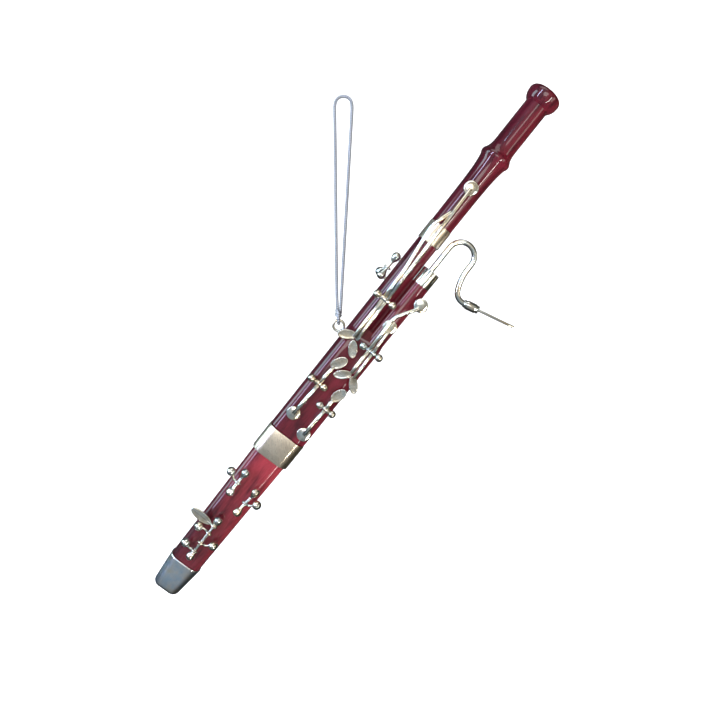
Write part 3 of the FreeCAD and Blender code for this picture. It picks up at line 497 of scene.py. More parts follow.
def plated_metal(name, bright, dull, roughness, stretch=(1.0, 1.0, 1.0), streak=0.0, cloud=0.16,
                 pitted=1.0):
    """Plated metal: cool and warm cloudy dulling, fine brushing along one way, and small pits."""
    n = Nodes(bpy.data.materials.new(name))
    clouds = n.noise(n.instrument_space(), 0.55, 4.0, 0.6)
    brushed = n.noise(n.instrument_space(stretch), 6.0, 3.0, 0.7)
    pits = n.noise(n.instrument_space(), 5.0, 2.0, 0.5)
    patches = n.noise(n.instrument_space(), 0.35, 2.0, 0.5)
    tone = n.ramp(clouds, [(0.32, dull), (0.58, bright)])
    tint = n.ramp(patches, [(0.36, (0.80, 0.92, 1.0)), (0.52, (1.0, 1.0, 0.97)), (0.66, (1.0, 0.93, 0.78))])
    tone = n.blend(1.0, tone, tint, "MULTIPLY")
    lines = n.ramp(brushed, [(0.35, (0.72, 0.72, 0.72)), (0.62, (1.0, 1.0, 1.0))])
    rough = n.bump(pits, 0.05 * pitted, 0.00002)
    n.feed(Metallic=1.0, Base_Color=n.blend(streak, tone, lines, "MULTIPLY"),
           Roughness=n.spread(clouds, roughness + cloud, roughness, 0.3, 0.7),
           Normal=n.bump(brushed, 0.03 * pitted + 0.08 * streak, 0.00001, rough))
    return n.owner


def scratched_brass(name):
    """Pale brass sheet with fine slanting scratches and a faint cloudy bloom."""
    n = Nodes(bpy.data.materials.new(name))
    slanted = n.instrument_space((1.0, 1.0, 0.08), math.radians(38) - LEAN, Vector())
    scratches = n.noise(slanted, 5.0, 4.0, 0.7)
    clouds = n.noise(n.instrument_space(), 0.5, 4.0, 0.6)
    colour = tuple(plate_settings().brass)
    faded = tuple(channel * 0.82 for channel in colour)
    tone = n.ramp(clouds, [(0.34, faded), (0.6, colour)])
    lines = n.ramp(scratches, [(0.36, (0.74, 0.71, 0.68)), (0.52, (1.0, 1.0, 1.0))])
    n.feed(Metallic=1.0, Base_Color=n.blend(0.7, tone, lines, "MULTIPLY"),
           Roughness=n.spread(scratches, 0.44, 0.24, 0.35, 0.65),
           Normal=n.bump(scratches, 0.08, 0.00001))
    return n.owner


def metallic_thread(name, share):
    """Silvery twisted filament with bright and dull fibres, darkened to a share of its colour."""
    n = Nodes(bpy.data.materials.new(name))
    colour = tuple(channel * share for channel in bpy.context.scene.bassoon_thread.colour)
    fibres = n.noise(n.add("ShaderNodeTexCoord").outputs["Object"], 9000.0, 3.0, 0.7)
    dark = tuple(channel * 0.45 for channel in colour)
    light = tuple(min(1.0, channel * 1.3) for channel in colour)
    n.feed(Metallic=0.85, Base_Color=n.ramp(fibres, [(0.36, dark), (0.5, colour), (0.68, light)]),
           Roughness=n.spread(fibres, 0.5, 0.28, 0.3, 0.7), Normal=n.bump(fibres, 0.5, 0.00003))
    return n.owner


def pad_leather():
    """Tan leather with fine creases."""
    n = Nodes(bpy.data.materials.new("pad leather"))
    grain = n.noise(n.add("ShaderNodeTexCoord").outputs["Object"], 4000.0, 5.0, 0.65)
    n.feed(Base_Color=n.ramp(grain, [(0.35, (0.16, 0.11, 0.07)), (0.65, (0.42, 0.32, 0.22))]),
           Roughness=0.8, Normal=n.bump(grain, 0.5, 0.00004))
    return n.owner


FINISHES = {}


def finish(name):
    """A finish by name, made the first time that it is asked for."""
    if name not in FINISHES:
        plate = plate_settings()
        bright, dull = tuple(plate.bright), tuple(plate.dull)
        cap = tuple(plate.cap)
        makers = {
            "upper wood": lambda: varnished_wood("upper wood", tuple(wood().stain)),
            "boot wood": lambda: varnished_wood("boot wood", tuple(wood().boot_stain)),
            "key plate": lambda: plated_metal("key plate", bright, dull, plate.roughness),
            "rod plate": lambda: plated_metal(
                "rod plate", bright, tuple(c * 0.9 for c in bright), plate.roughness,
                cloud=0.02, pitted=0.0),
            "touch plate": lambda: plated_metal(
                "touch plate", bright, tuple(c * 0.7 for c in dull), plate.roughness + 0.06),
            "cap plate": lambda: plated_metal(
                "cap plate", cap, tuple(c * 0.92 for c in cap), 0.28, (1.0, 1.0, 0.06), 0.12, 0.05),
            "pale brass": lambda: scratched_brass("pale brass"),
            "bright ply": lambda: metallic_thread("bright ply", 1.0),
            "dull ply": lambda: metallic_thread("dull ply", 0.3),
            "leather": pad_leather,
        }
        FINISHES[name] = makers[name]()
    return FINISHES[name]


# ---- stage
VIEW_MIDDLE = Vector((4.684, 0.0, -55.08)) * MM


def area_light(name, place, width, height, power, colour, roll):
    """A softbox that looks at the middle of the view, its long side turned clockwise by roll."""
    data = bpy.data.lights.new(name, "AREA")
    data.shape = "RECTANGLE"
    data.size, data.size_y = width, height
    data.energy = power
    data.color = colour
    light = placed(name, data)
    light.location = place
    aim = (VIEW_MIDDLE - Vector(place)).to_track_quat("-Z", "Y").to_matrix()
    light.rotation_euler = (aim @ Matrix.Rotation(-roll, 3, "Z")).to_euler()


def paint_room(world, strength):
    """A soft studio room: pale in front, dimmer at the sides, cool at the left and warm at the right."""
    n = Nodes(world)
    parts = n.add("ShaderNodeSeparateXYZ")
    n.join(n.add("ShaderNodeTexCoord").outputs["Generated"], parts.inputs["Vector"])
    height, depth, tint = (n.ramp(n.spread(parts.outputs[axis], 0.0, 1.0, -1.0, 1.0), stops)
                           for axis, stops in (
        ("Z", [(0.0, (0.45, 0.45, 0.45)), (0.5, (0.72, 0.72, 0.72)), (1.0, (1.0, 1.0, 1.0))]),
        ("Y", [(0.0, (0.85, 0.85, 0.85)), (0.16, (0.70, 0.70, 0.70)), (0.36, (0.13, 0.13, 0.13)),
               (0.55, (0.07, 0.07, 0.07)), (1.0, (0.26, 0.26, 0.26))]),
        ("X", [(0.0, (0.62, 0.84, 1.0)), (0.45, (0.94, 0.97, 1.0)), (0.6, (1.0, 0.97, 0.90)),
               (1.0, (1.0, 0.86, 0.66))])))
    colour = depth
    for other in (tint, height):
        product = n.add("ShaderNodeVectorMath", operation="MULTIPLY")
        n.join(colour, product.inputs[0])
        n.join(other, product.inputs[1])
        colour = product.outputs["Vector"]
    background = n.tree.nodes["Background"]
    n.join(colour, background.inputs["Color"])
    background.inputs["Strength"].default_value = strength


# each light's name, place, width, height, power and colour, and whether it leans with the instrument
LIGHTS = (
    ("left softbox", (-0.50, -0.08, 0.20), 0.18, 0.5, 1.7, (0.66, 0.88, 1.0), LEAN),
    ("left strip", (-0.37, -0.42, 0.18), 0.045, 0.6, 2.6, (0.62, 0.66, 1.0), LEAN),
    ("right strip", (0.24, -0.50, -0.32), 0.022, 0.5, 1.9, (1.0, 0.97, 0.92), LEAN),
    ("right softbox", (0.42, -0.26, -0.10), 0.10, 0.4, 0.35, (1.0, 0.92, 0.82), LEAN),
    ("top softbox", (0.06, -0.16, 0.42), 0.40, 0.25, 0.6, (1.0, 1.0, 1.0), 0.0),
    ("front fill", (0.02, -0.62, 0.10), 0.30, 0.20, 0.7, (1.0, 0.97, 0.93), 0.0),
)


class BASSOON_OT_stage(bpy.types.Operator):
    """Add the camera, the plain pale floor and wall, and the soft studio lights"""

    bl_idname = "bassoon.stage"
    bl_label = "Stage"

    def execute(self, context):
        settings = context.scene.bassoon_stage
        camera_data = bpy.data.cameras.new("camera")
        camera_data.sensor_width = 36.0
        camera_data.lens = settings.lens
        camera_data.clip_start = 0.005
        camera_data.clip_end = 20.0
        camera = placed("camera", camera_data)
        camera.rotation_euler = (math.pi / 2 - settings.elevation, 0.0, -settings.azimuth)
        back = camera.rotation_euler.to_matrix() @ Vector((0.0, 0.0, 1.0))
        camera.location = VIEW_MIDDLE + back * settings.distance
        context.scene.camera = camera
        context.scene.view_settings.view_transform = "Standard"

        bm = bmesh.new()
        floor_z = CAD_BOX[0][2] - 0.03
        bmesh.ops.create_grid(bm, x_segments=1, y_segments=1, size=1.5,
                              matrix=Matrix.Translation((0.0, -0.7, floor_z)))
        far = [edge for edge in bm.edges if all(vert.co.y > 0.7 for vert in edge.verts)]
        raised = bmesh.ops.extrude_edge_only(bm, edges=far)["geom"]
        top = [item for item in raised if isinstance(item, bmesh.types.BMVert)]
        bmesh.ops.translate(bm, verts=top, vec=(0.0, 0.0, 2.4))
        fold = [edge for edge in bm.edges if len(edge.link_faces) == 2]
        bmesh.ops.bevel(bm, geom=fold, offset=0.5, offset_type="OFFSET", affect="EDGES",
                        segments=24, profile=0.5, material=-1)
        for face in bm.faces:
            face.smooth = True
        mesh = bpy.data.meshes.new("backdrop")
        bm.to_mesh(mesh)
        bm.free()
        backdrop = placed("backdrop", mesh)
        paint = Nodes(bpy.data.materials.new("backdrop paint"))
        paint.feed(Base_Color=(*settings.floor, 1.0), Roughness=0.9, Specular_IOR_Level=0.0,
                   Emission_Color=(1.0, 1.0, 1.0, 1.0), Emission_Strength=0.85)
        mesh.materials.append(paint.owner)
        backdrop.visible_glossy = False

        world = bpy.data.worlds.new("daylight")
        paint_room(world, settings.daylight)
        context.scene.world = world
        for light in LIGHTS:
            area_light(*light)
        return {"FINISHED"}


# ---- thread
# The corner points of the thread's route, in millimetres from the hook: down one side of the eye's
# wire and back, through the knot, and round the long loop. The bends round the wire and under the
# hook have a point at each side.
KNOT_Z = -44.65
ROUTE = [
    (0.0, -0.40, KNOT_Z),
    (0.0, -0.745, -45.60),
    (0.0, -0.745, -46.51),
    (0.0, -0.309, -46.945),
    (0.0, 0.309, -46.945),
    (0.0, 0.745, -46.51),
    (0.0, 0.745, -45.60),
    (0.0, 0.40, KNOT_Z),
    (-0.40, 0.0, KNOT_Z + 0.4),
    (-0.52, 0.0, -4.5),
    (-0.62, 0.0, 0.375),
    (3.15, 0.0, 0.375),
    (2.92, 0.0, -4.5),
    (0.40, 0.0, KNOT_Z),
]


def route_points():
    """The smooth line along the route, as close points in metres."""
    data = bpy.data.curves.new("thread route", "CURVE")
    data.dimensions = "3D"
    data.resolution_u = 40
    spline = data.splines.new("NURBS")
    spline.points.add(len(ROUTE) - 1)
    for point, corner in zip(spline.points, ROUTE):
        point.co = (*(value * MM for value in corner), 1.0)
    spline.order_u = 3
    spline.use_endpoint_u = True
    route = placed("thread route", data)
    bpy.context.view_layer.update()
    mesh = bpy.data.meshes.new_from_object(route)
    points = [vert.co.copy() for vert in mesh.vertices]
    bpy.data.objects.remove(route)
    bpy.data.meshes.remove(mesh)
    return points


def evenly(points, step):
    """The same line with its points a step apart."""
    out = [points[0]]
    carried = 0.0
    for a, b in zip(points, points[1:]):
        length = (b - a).length
        while carried + length >= step:
            a = a + (b - a) * ((step - carried) / length)
            length = (b - a).length
            out.append(a)
            carried = 0.0
        carried += length
    return out


def plies(name, points, diameter, pitch):
    """A bright and a dull ply twisted round a line, as one mesh."""
    step = (points[1] - points[0]).length
    data = bpy.data.curves.new(name, "CURVE")
    data.dimensions = "3D"
    data.bevel_depth = PLY_R * diameter
    data.bevel_resolution = 2
    data.use_fill_caps = True
    side = Vector((1.0, 0.0, 0.0))
    frames = []
    for i, point in enumerate(points):
        tangent = (points[min(i + 1, len(points) - 1)] - points[max(i - 1, 0)]).normalized()
        if i == 0 and abs(tangent.x) > 0.9:
            side = Vector((0.0, 1.0, 0.0))
        side, other = circle_frame(tangent, side)
        frames.append((point, side.copy(), other))
    for ply in range(2):
        spline = data.splines.new("POLY")
        spline.points.add(len(points) - 1)
        for i, (point, a, b) in enumerate(frames):
            angle = 2 * math.pi * i * step / pitch + math.pi * ply
            offset = (a * math.cos(angle) + b * math.sin(angle)) * (PLY_OFFSET * diameter)
            spline.points[i].co = (*(point + offset), 1.0)
    curve = placed(name + " curve", data)
    bpy.context.view_layer.update()
    mesh = bpy.data.meshes.new_from_object(curve)
    bpy.data.objects.remove(curve)
    mesh.name = name
    mesh.materials.clear()
    mesh.materials.append(finish("bright ply"))
    mesh.materials.append(finish("dull ply"))
    half = len(mesh.polygons) // 2
    for polygon in mesh.polygons:
        polygon.use_smooth = True
        polygon.material_index = 0 if polygon.index < half else 1
    return placed(name, mesh)


class BASSOON_OT_thread(bpy.types.Operator):
    """Add the twisted thread, from the eye to its loop, and the knot that holds it"""

    bl_idname = "bassoon.thread"
    bl_label = "Thread and knot"

    def execute(self, context):
        settings = context.scene.bassoon_thread
        step = settings.pitch / 12
        line = evenly(route_points(), step)
        thread = plies("twisted_thread", line, settings.diameter, settings.pitch)
        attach(thread, "hanging_thread")
        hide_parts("thread")

        turns = []
        for height, tilt in ((-0.46, 12), (0.06, -14), (0.56, 10)):
            turn = (Matrix.Translation((0.0, 0.0, (KNOT_Z + height) * MM))
                    @ Matrix.Rotation(math.radians(tilt), 4, "X")
                    @ Matrix.Rotation(math.radians(tilt * 0.6), 4, "Y"))
            radius = 0.46 * MM
            count = 44
            ring = [turn @ Vector((radius * math.cos(2 * math.pi * i / count),
                                   radius * math.sin(2 * math.pi * i / count), 0.0))
                    for i in range(count + 1)]
            turns.append(plies("knot_turn", ring, settings.diameter * 0.92, 2 * math.pi * radius / 3))
        bm = bmesh.new()
        for turn in turns:
            bm.from_mesh(turn.data)
            bpy.data.objects.remove(turn)
        knot = finish_piece(bm, "knot_turns", "hanging_thread", "bright ply",
                            ["thread_knot"], 60.0, Matrix.Identity(4), False)
        knot.data.materials.append(finish("dull ply"))
        return {"FINISHED"}


# ---- wooden body
class BASSOON_OT_body(bpy.types.Operator):
    """Add the boot, the carved wing and long joints, and the bell, all of varnished wood"""

    bl_idname = "bassoon.body"
    bl_label = "Wooden body"

    def execute(self, context):
        smoothed("boot", "boot_joint", "ornament", "boot wood")
        smoothed("upper_body", "wing_and_long_joints", "ornament", "upper wood")
        smoothed("bell", "turned_bell", "ornament", "upper wood")
        return {"FINISHED"}


# ---- metal fittings
def fitting_wall(name, sections, coat, node, floor=None):
    """A thin closed wall through rounded rectangles, rolled a little at its open rims."""
    bm = bmesh.new()
    skin(bm, sections)
    if floor:
        low = [edge for edge in bm.edges if edge.is_boundary and edge.verts[0].co.z < floor]
        bmesh.ops.contextual_create(bm, geom=low)
    finish_piece(bm, name, "ornament", coat, [node], 40.0)


def fitting_ring(name, profile, x, y, steps, coat, node):
    """A turned ring that stands about an upright line."""
    bm = bmesh.new()
    turned(bm, profile, Matrix.Translation((x, y, 0.0)), steps)
    finish_piece(bm, name, "ornament", coat, [node], 40.0)


# heights up the cap, and how far in its wall is there: a rounded floor, straight tapering sides
# and a rim rolled over the wood
CAP_WALL = (
    (0.0, 1.15), (0.08, 0.75), (0.32, 0.34), (0.7, 0.10), (1.15, 0.0), (4.5, 0.0), (8.3, 0.0),
    (8.62, -0.02), (8.8, 0.0), (8.88, 0.06), (CAP_TOP, 0.14), (8.86, 0.2), (8.5, 0.2),
)
# the same for one rim of the band, from its inside: height from the rim, and how far in
BAND_RIM = ((0.3, 0.24), (0.02, 0.22), (0.0, 0.14), (0.05, 0.04), (0.18, 0.0))


class BASSOON_OT_fittings(bpy.types.Operator):
    """Add the boot cap, the band, the ferrule and the wing socket"""

    bl_idname = "bassoon.fittings"
    bl_label = "Metal fittings"

    def execute(self, context):
        cap = []
        for z, inset in CAP_WALL:
            depth = CAP_FOOT_DEPTH + CAP_DEEPENS * z / CAP_TOP - 2 * inset
            width = CAP_FOOT_WIDTH + CAP_WIDENS * z / CAP_TOP - 2 * inset
            cap.append((width, depth, OVAL_SHARE * depth, z))
        fitting_wall("boot_cap_shell", cap, "cap plate", "boot_cap", 0.01)

        rims = [(BAND_FOOT + rise, inset) for rise, inset in BAND_RIM]
        rims += [(BODY_FOOT - rise, inset) for rise, inset in reversed(BAND_RIM)]
        band = [(BAND_WIDTH - 2 * inset, BAND_DEPTH - 2 * inset, BAND_ROUND - inset, z)
                for z, inset in rims]
        fitting_wall("joint_band", band, "pale brass", "band")

        r, low, high = FERRULE_R, FERRULE_FOOT, BELL_FOOT
        fitting_ring("bell_ferrule", [
            (r - 0.3, low + 0.3), (r - 0.28, low), (r - 0.1, low), (r, low + 0.1), (r, low + 2.2),
            (r, high - 0.1), (r - 0.1, high), (r - 0.28, high), (r - 0.3, high - 0.3),
        ], LONG_X, 0.0, 72, "pale brass", "ferrule")

        r, low, high = SOCKET_R, SHOULDER + 17.0, SOCKET_TOP
        fitting_ring("wing_cap", [
            (r - 0.19, low + 0.3), (r - 0.18, low), (r - 0.07, low), (r, low + 0.07), (r, high - 0.16),
            (r - 0.04, high - 0.05), (r - 0.15, high), (0.74, high), (0.7, high - 0.04), (0.7, high - 0.5),
        ], WING_X, WING_Y, 64, "rod plate", "wing_socket")
        return {"FINISHED"}


# ---- crook
CROOK_X = 2.05
CROOK_R = 0.625
CROOK_RISE = 6.3
CROOK_TOP_R = 3.0
CROOK_DROP = 0.95
CROOK_SWEEP_R = 10.85
CROOK_SWEEP = math.radians(28.0)
CROOK_HOOK_R = 2.47
TIP_LIFT = math.radians(13.0)
SLEEVE_LENGTH = 3.6
TIP_LENGTH = 8.6
TIP_R = 0.3


def crook_line():
    """Points along the crook, and the point and direction in which it ends."""
    bend = Vector((CROOK_X + CROOK_TOP_R, WING_Y, SOCKET_TOP + CROOK_RISE))
    points = [Vector((CROOK_X, WING_Y, SOCKET_TOP - 3.5)), Vector((CROOK_X, WING_Y, bend.z - 3.0))]
    for step in range(33):
        angle = math.pi * (1 - step / 32)
        points.append(bend + Vector((math.cos(angle), 0.0, math.sin(angle))) * CROOK_TOP_R)
    drop = bend + Vector((CROOK_TOP_R, 0.0, -CROOK_DROP))
    for step in range(1, 13):
        angle = CROOK_SWEEP * step / 12
        points.append(drop + Vector((1 - math.cos(angle), 0.0, -math.sin(angle))) * CROOK_SWEEP_R)
    hook = points[-1] + Vector((math.cos(CROOK_SWEEP), 0.0, math.sin(CROOK_SWEEP))) * CROOK_HOOK_R
    for step in range(1, 17):
        angle = CROOK_SWEEP + (math.pi / 2 + TIP_LIFT - CROOK_SWEEP) * step / 16
        points.append(hook - Vector((math.cos(angle), 0.0, math.sin(angle))) * CROOK_HOOK_R)
    return points, Vector((math.cos(TIP_LIFT), 0.0, math.sin(TIP_LIFT)))


class BASSOON_OT_crook(bpy.types.Operator):
    """Add the curved crook with its turned sleeve and thin tip"""

    bl_idname = "bassoon.crook"
    bl_label = "Crook"

    def execute(self, context):
        points, onward = crook_line()
        bm = bmesh.new()
        sweep(bm, points, CROOK_R, 32)
        finish_piece(bm, "curved_crook", "crook", "rod plate", ["bocal"], 50.0)
        end = points[-1]
        bm = bmesh.new()
        n = SLEEVE_LENGTH
        half = [(0.7, 0.0), (0.86, 0.05), (0.92, 0.16), (0.92, 0.34), (0.82, 0.45), (0.84, 0.55),
                (0.96, 0.62), (1.02, 0.8), (1.05, 1.1)]
        turned(bm, [(0.0, 0.0), *half, *((r, n - z) for r, z in reversed(half[1:])), (0.6, n), (0.0, n)],
               along(end, end + onward), 48)
        finish_piece(bm, "crook_sleeve", "crook", "rod plate", ["bocal_sleeve"], 28.0)
        bm = bmesh.new()
        start = end + onward * (n - 0.3)
        tip = end + onward * (n + TIP_LENGTH)
        rod_with_ends(bm, [start, start.lerp(tip, 0.5), tip], TIP_R, 24)
        finish_piece(bm, "crook_tip", "crook", "rod plate", ["tip_rod"], 50.0)
        return {"FINISHED"}


# ---- rocking keys
CUP_PROFILE = [
    (0.0, 0.0), (1.34, 0.0), (1.5, 0.05), (1.575, 0.15), (1.575, 0.24), (1.52, 0.33), (1.42, 0.375),
    (1.34, 0.365), (1.28, 0.385), (1.0, 0.46), (0.66, 0.51), (0.3, 0.535), (0.0, 0.54),
]
CUP_BACK = -3.16
TOUCH_THICK = 0.45
FORK_FOOT = SHOULDER - 0.6
WING_LEFT_X = WING_KEY_X - 0.4
WING_RIGHT_X = WING_KEY_X + 0.7

# each rocking key: how far it stands out, its cup's x and z, and each touch's
# name ending, x, z, length, width and tilt in degrees
LEVERS = {
    "fork": (0.0, (LONG_X - 0.3, SHOULDER + 39.0), [
        ("_left", LONG_X - 1.65, FORK_FOOT - 0.25, 4.15, 2.15, 33),
        ("_right", LONG_X + 1.35, FORK_FOOT - 2.0, 4.0, 2.0, -56)]),
    "wing_upper": (0.4, (WING_KEY_X + 2.3, SHOULDER + 13.7), [
        ("", WING_LEFT_X - 1.25, SHOULDER - 8.3, 3.9, 2.0, 39)]),
    "wing_lower": (0.0, (WING_KEY_X, SHOULDER + 6.0), [
        ("", WING_RIGHT_X + 1.0, SHOULDER - 8.75, 4.0, 2.0, -47)]),
    "left": (0.0, (LONG_X, BODY_FOOT + 5.5), [
        ("", LONG_X + 0.95, BODY_FOOT + 20.7, 4.0, 2.4, 62)]),
    "right": (0.0, (WING_KEY_X + 0.1, BODY_FOOT + 3.0), [
        ("", WING_KEY_X + 0.65, BODY_FOOT + 14.9, 3.9, 2.4, 74)]),
}


# each rocking key's rod: its hub's two ends and height, the rod's radius, and each run's corner
# points in x and z with the radius of the bend at each inner one
RODS = {
    "fork": (LONG_X - 0.95, LONG_X + 1.2, SHOULDER + 10.0, 0.44, [
        ([(LONG_X + 0.78, SHOULDER - 0.6), (LONG_X - 0.3, SHOULDER + 38.8)], []),
        ([(LONG_X - 0.12, SHOULDER - 0.4), (LONG_X - 0.57, SHOULDER + 17.4),
          (LONG_X - 1.95, SHOULDER + 28.3), (LONG_X - 0.5, SHOULDER + 32.7)], [14.0, 5.0])]),
    "wing_upper": (1.55, 2.485, SHOULDER - 0.65, 0.44, [
        ([(2.1, SHOULDER - 6.9), (1.9, SHOULDER + 8.5), (4.8, SHOULDER + 13.0)], [3.0])]),
    "wing_lower": (2.65, 3.75, SHOULDER - 0.65, 0.44, [
        ([(3.3, SHOULDER - 7.5), (2.8, SHOULDER + 5.7)], [])]),
    "left": (LONG_X - 0.35, LONG_X + 0.75, BODY_FOOT + 14.4, 0.5, [
        ([(LONG_X + 0.05, BODY_FOOT + 5.6), (LONG_X + 0.5, BODY_FOOT + 19.5)], [])]),
    "right": (2.15, 3.25, BODY_FOOT + 10.7, 0.5, [
        ([(2.6, BODY_FOOT + 3.1), (2.8, BODY_FOOT + 13.4)], [])]),
}


def split_run(bm, run, radius, hub_z):
    """A rod along run, left open where its hub's pin goes through."""
    gap = 0.4
    for keep, edge in ((-1.0, hub_z - gap), (1.0, hub_z + gap)):
        part = []
        for a, b in zip(run, run[1:]):
            if (a.z - edge) * (b.z - edge) < 0.0:
                cut = a.lerp(b, (edge - a.z) / (b.z - a.z))
                part.extend([a, cut] if keep < 0.0 else [cut])
            elif (a.z - edge) * keep >= 0.0:
                part.append(a)
        if (run[-1].z - edge) * keep >= 0.0:
            part.append(run[-1])
        first = part[0].lerp(part[1], 0.08 / (part[1] - part[0]).length)
        last = part[-1].lerp(part[-2], 0.08 / (part[-2] - part[-1]).length)
        path = [part[0], first, *part[1:-1], last, part[-1]]
        sweep(bm, path, [0.82 * radius] + [radius] * (len(path) - 2) + [0.82 * radius], 32)


def oval_plate(bm, point, length, width, thick, tilt):
    """A flat oval plate with rounded edges and a low dome, facing -Y."""
    made = bmesh.ops.create_circle(bm, cap_ends=True, segments=72, radius=1.0)["verts"]
    face = made[0].link_faces[0]
    bmesh.ops.scale(bm, vec=(length / 2, width / 2, 1.0), verts=made)
    bmesh.ops.translate(bm, vec=(0.0, 0.0, -thick / 2), verts=made)
    raised = bmesh.ops.extrude_face_region(bm, geom=[face])["geom"]
    top = [item for item in raised if isinstance(item, bmesh.types.BMVert)]
    bmesh.ops.translate(bm, vec=(0.0, 0.0, thick), verts=top)
    rims = [edge for edge in unique(e for vert in linked(top[0]) for e in vert.link_edges)
            if abs(edge.verts[0].co.z - edge.verts[1].co.z) < 1e-5]
    bevelled = bmesh.ops.bevel(bm, geom=rims, offset=0.3 * thick, offset_type="OFFSET", affect="EDGES",
                               segments=4, profile=0.5, material=-1)
    whole = linked(bevelled["verts"][0])
    front = max(unique(f for vert in whole for f in vert.link_faces),
                key=lambda face: (len(face.verts), face.calc_center_median().z))
    for share, lift in ((0.10, 0.0), (0.12, -0.035), (0.2, -0.015)):
        bmesh.ops.inset_region(bm, faces=[front], thickness=share, depth=0.0)
        bmesh.ops.translate(bm, vec=(0.0, 0.0, lift), verts=front.verts[:])
    bmesh.ops.transform(bm, matrix=facing(point, math.radians(tilt)), verts=linked(front.verts[0]))


class BASSOON_OT_levers(bpy.types.Operator):
    """Add the rocking keys: rods, domed cups, leather pads and oval finger touches"""

    bl_idname = "bassoon.levers"
    bl_label = "Rocking keys"

    def execute(self, context):
        for name, (lift, (cup_x, cup_z), touches) in LEVERS.items():
            body = name + "_lever"
            bm = bmesh.new()
            hub_low, hub_high, hub_z, radius, runs = RODS[name]
            for corners, bends in runs:
                run = bent([(x, KEY_Y - lift, z) for x, z in corners], bends)
                split_run(bm, run, radius, hub_z)
            start = Vector((hub_low, KEY_Y, hub_z))
            wide = hub_high - hub_low
            r, bore = HUB_R, HUB_BORE_R
            turned(bm, [(bore, 0.0), (r - 0.06, 0.0), (r, 0.06), (r, wide - 0.06), (r - 0.06, wide),
                        (bore, wide), (bore, 0.0)], along(start, start + Vector((1.0, 0.0, 0.0))), 40)
            finish_piece(bm, name + "_key_rod", body, "rod plate", [name + "_rod"], 50.0)
            smoothed(name + "_pad", name + "_key_pad", body, "leather")
            bm = bmesh.new()
            turned(bm, CUP_PROFILE, facing((cup_x, CUP_BACK - lift, cup_z)), 64)
            finish_piece(bm, name + "_key_cup", body, "key plate", [name + "_cup"], 40.0)
            for ending, x, z, length, width, tilt in touches:
                bm = bmesh.new()
                oval_plate(bm, (x, KEY_Y - lift, z), length, width, TOUCH_THICK, tilt)
                finish_piece(bm, name + "_finger_touch" + ending, body, "touch plate",
                             [name + "_touch" + ending], 45.0)
        return {"FINISHED"}


# ---- posts, pins and axles
def set_in(point, root, surface):
    """Where a post's stem ends in the wood, square to the round or flat that it stands on."""
    inward = Vector((root[0] - point.x, root[1] - point.y, 0.0))
    return point + inward.normalized() * (inward.length - surface + 0.8)


BODY_CORNER = (2.3, -0.5)
POST_BALL_R = 0.9


def pin_root(x, on_tube):
    """The line that a cross pin's post stands square to, and the wood's distance from it."""
    if on_tube:
        return (LONG_X, 0.0), LONG_TUBE_R
    if abs(x) <= BODY_CORNER[0]:
        return (x, 0.0), BODY_HALF_DEPTH
    return (math.copysign(BODY_CORNER[0], x), BODY_CORNER[1]), BODY_CORNER_R


# each cross pin: its height, the x of its two posts, and whether they stand on the long tube
CROSS_PINS = {
    "fork": (SHOULDER + 10.0, (LONG_X - 1.9, LONG_X + 2.15), True),
    "wing": (SHOULDER - 0.65, (WING_KEY_X - 1.95, WING_KEY_X + 2.3), False),
    "left": (BODY_FOOT + 14.4, (LONG_X - 1.7, LONG_X + 1.7), False),
    "right": (BODY_FOOT + 10.7, (WING_KEY_X - 1.3, WING_KEY_X + 2.05), False),
}

# each axle's two ends
AXLES = {
    "boot_left": ((-2.25, AXLE_Y, BAND_FOOT - 11.0), (-2.2, AXLE_Y, BAND_FOOT - 5.2)),
    "boot_right": ((1.85, AXLE_Y, BAND_FOOT - 13.9), (2.3, AXLE_Y, BAND_FOOT - 7.5)),
    "boot_low": ((-0.2, AXLE_Y, BAND_FOOT - 29.05), (-0.25, AXLE_Y, BAND_FOOT - 18.2)),
    "long": ((LONG_X - 3.6, 0.0, SHOULDER + 13.5), (LONG_X - 3.45, 0.0, SHOULDER + 18.6)),
}


def boot_root(point):
    """The line that a post on the boot stands square to, and the surface's distance from it."""
    share = (point.z - CAP_TOP) / (BAND_FOOT - CAP_TOP)
    width = BOOT_LOW_WIDTH + BOOT_WIDENS * share
    depth = BOOT_LOW_DEPTH + BOOT_DEEPENS * share
    radius = OVAL_SHARE * depth
    flat = width / 2 - radius
    if abs(point.x) <= flat:
        return (point.x, 0.0), depth / 2
    return (math.copysign(flat, point.x), radius - depth / 2), radius


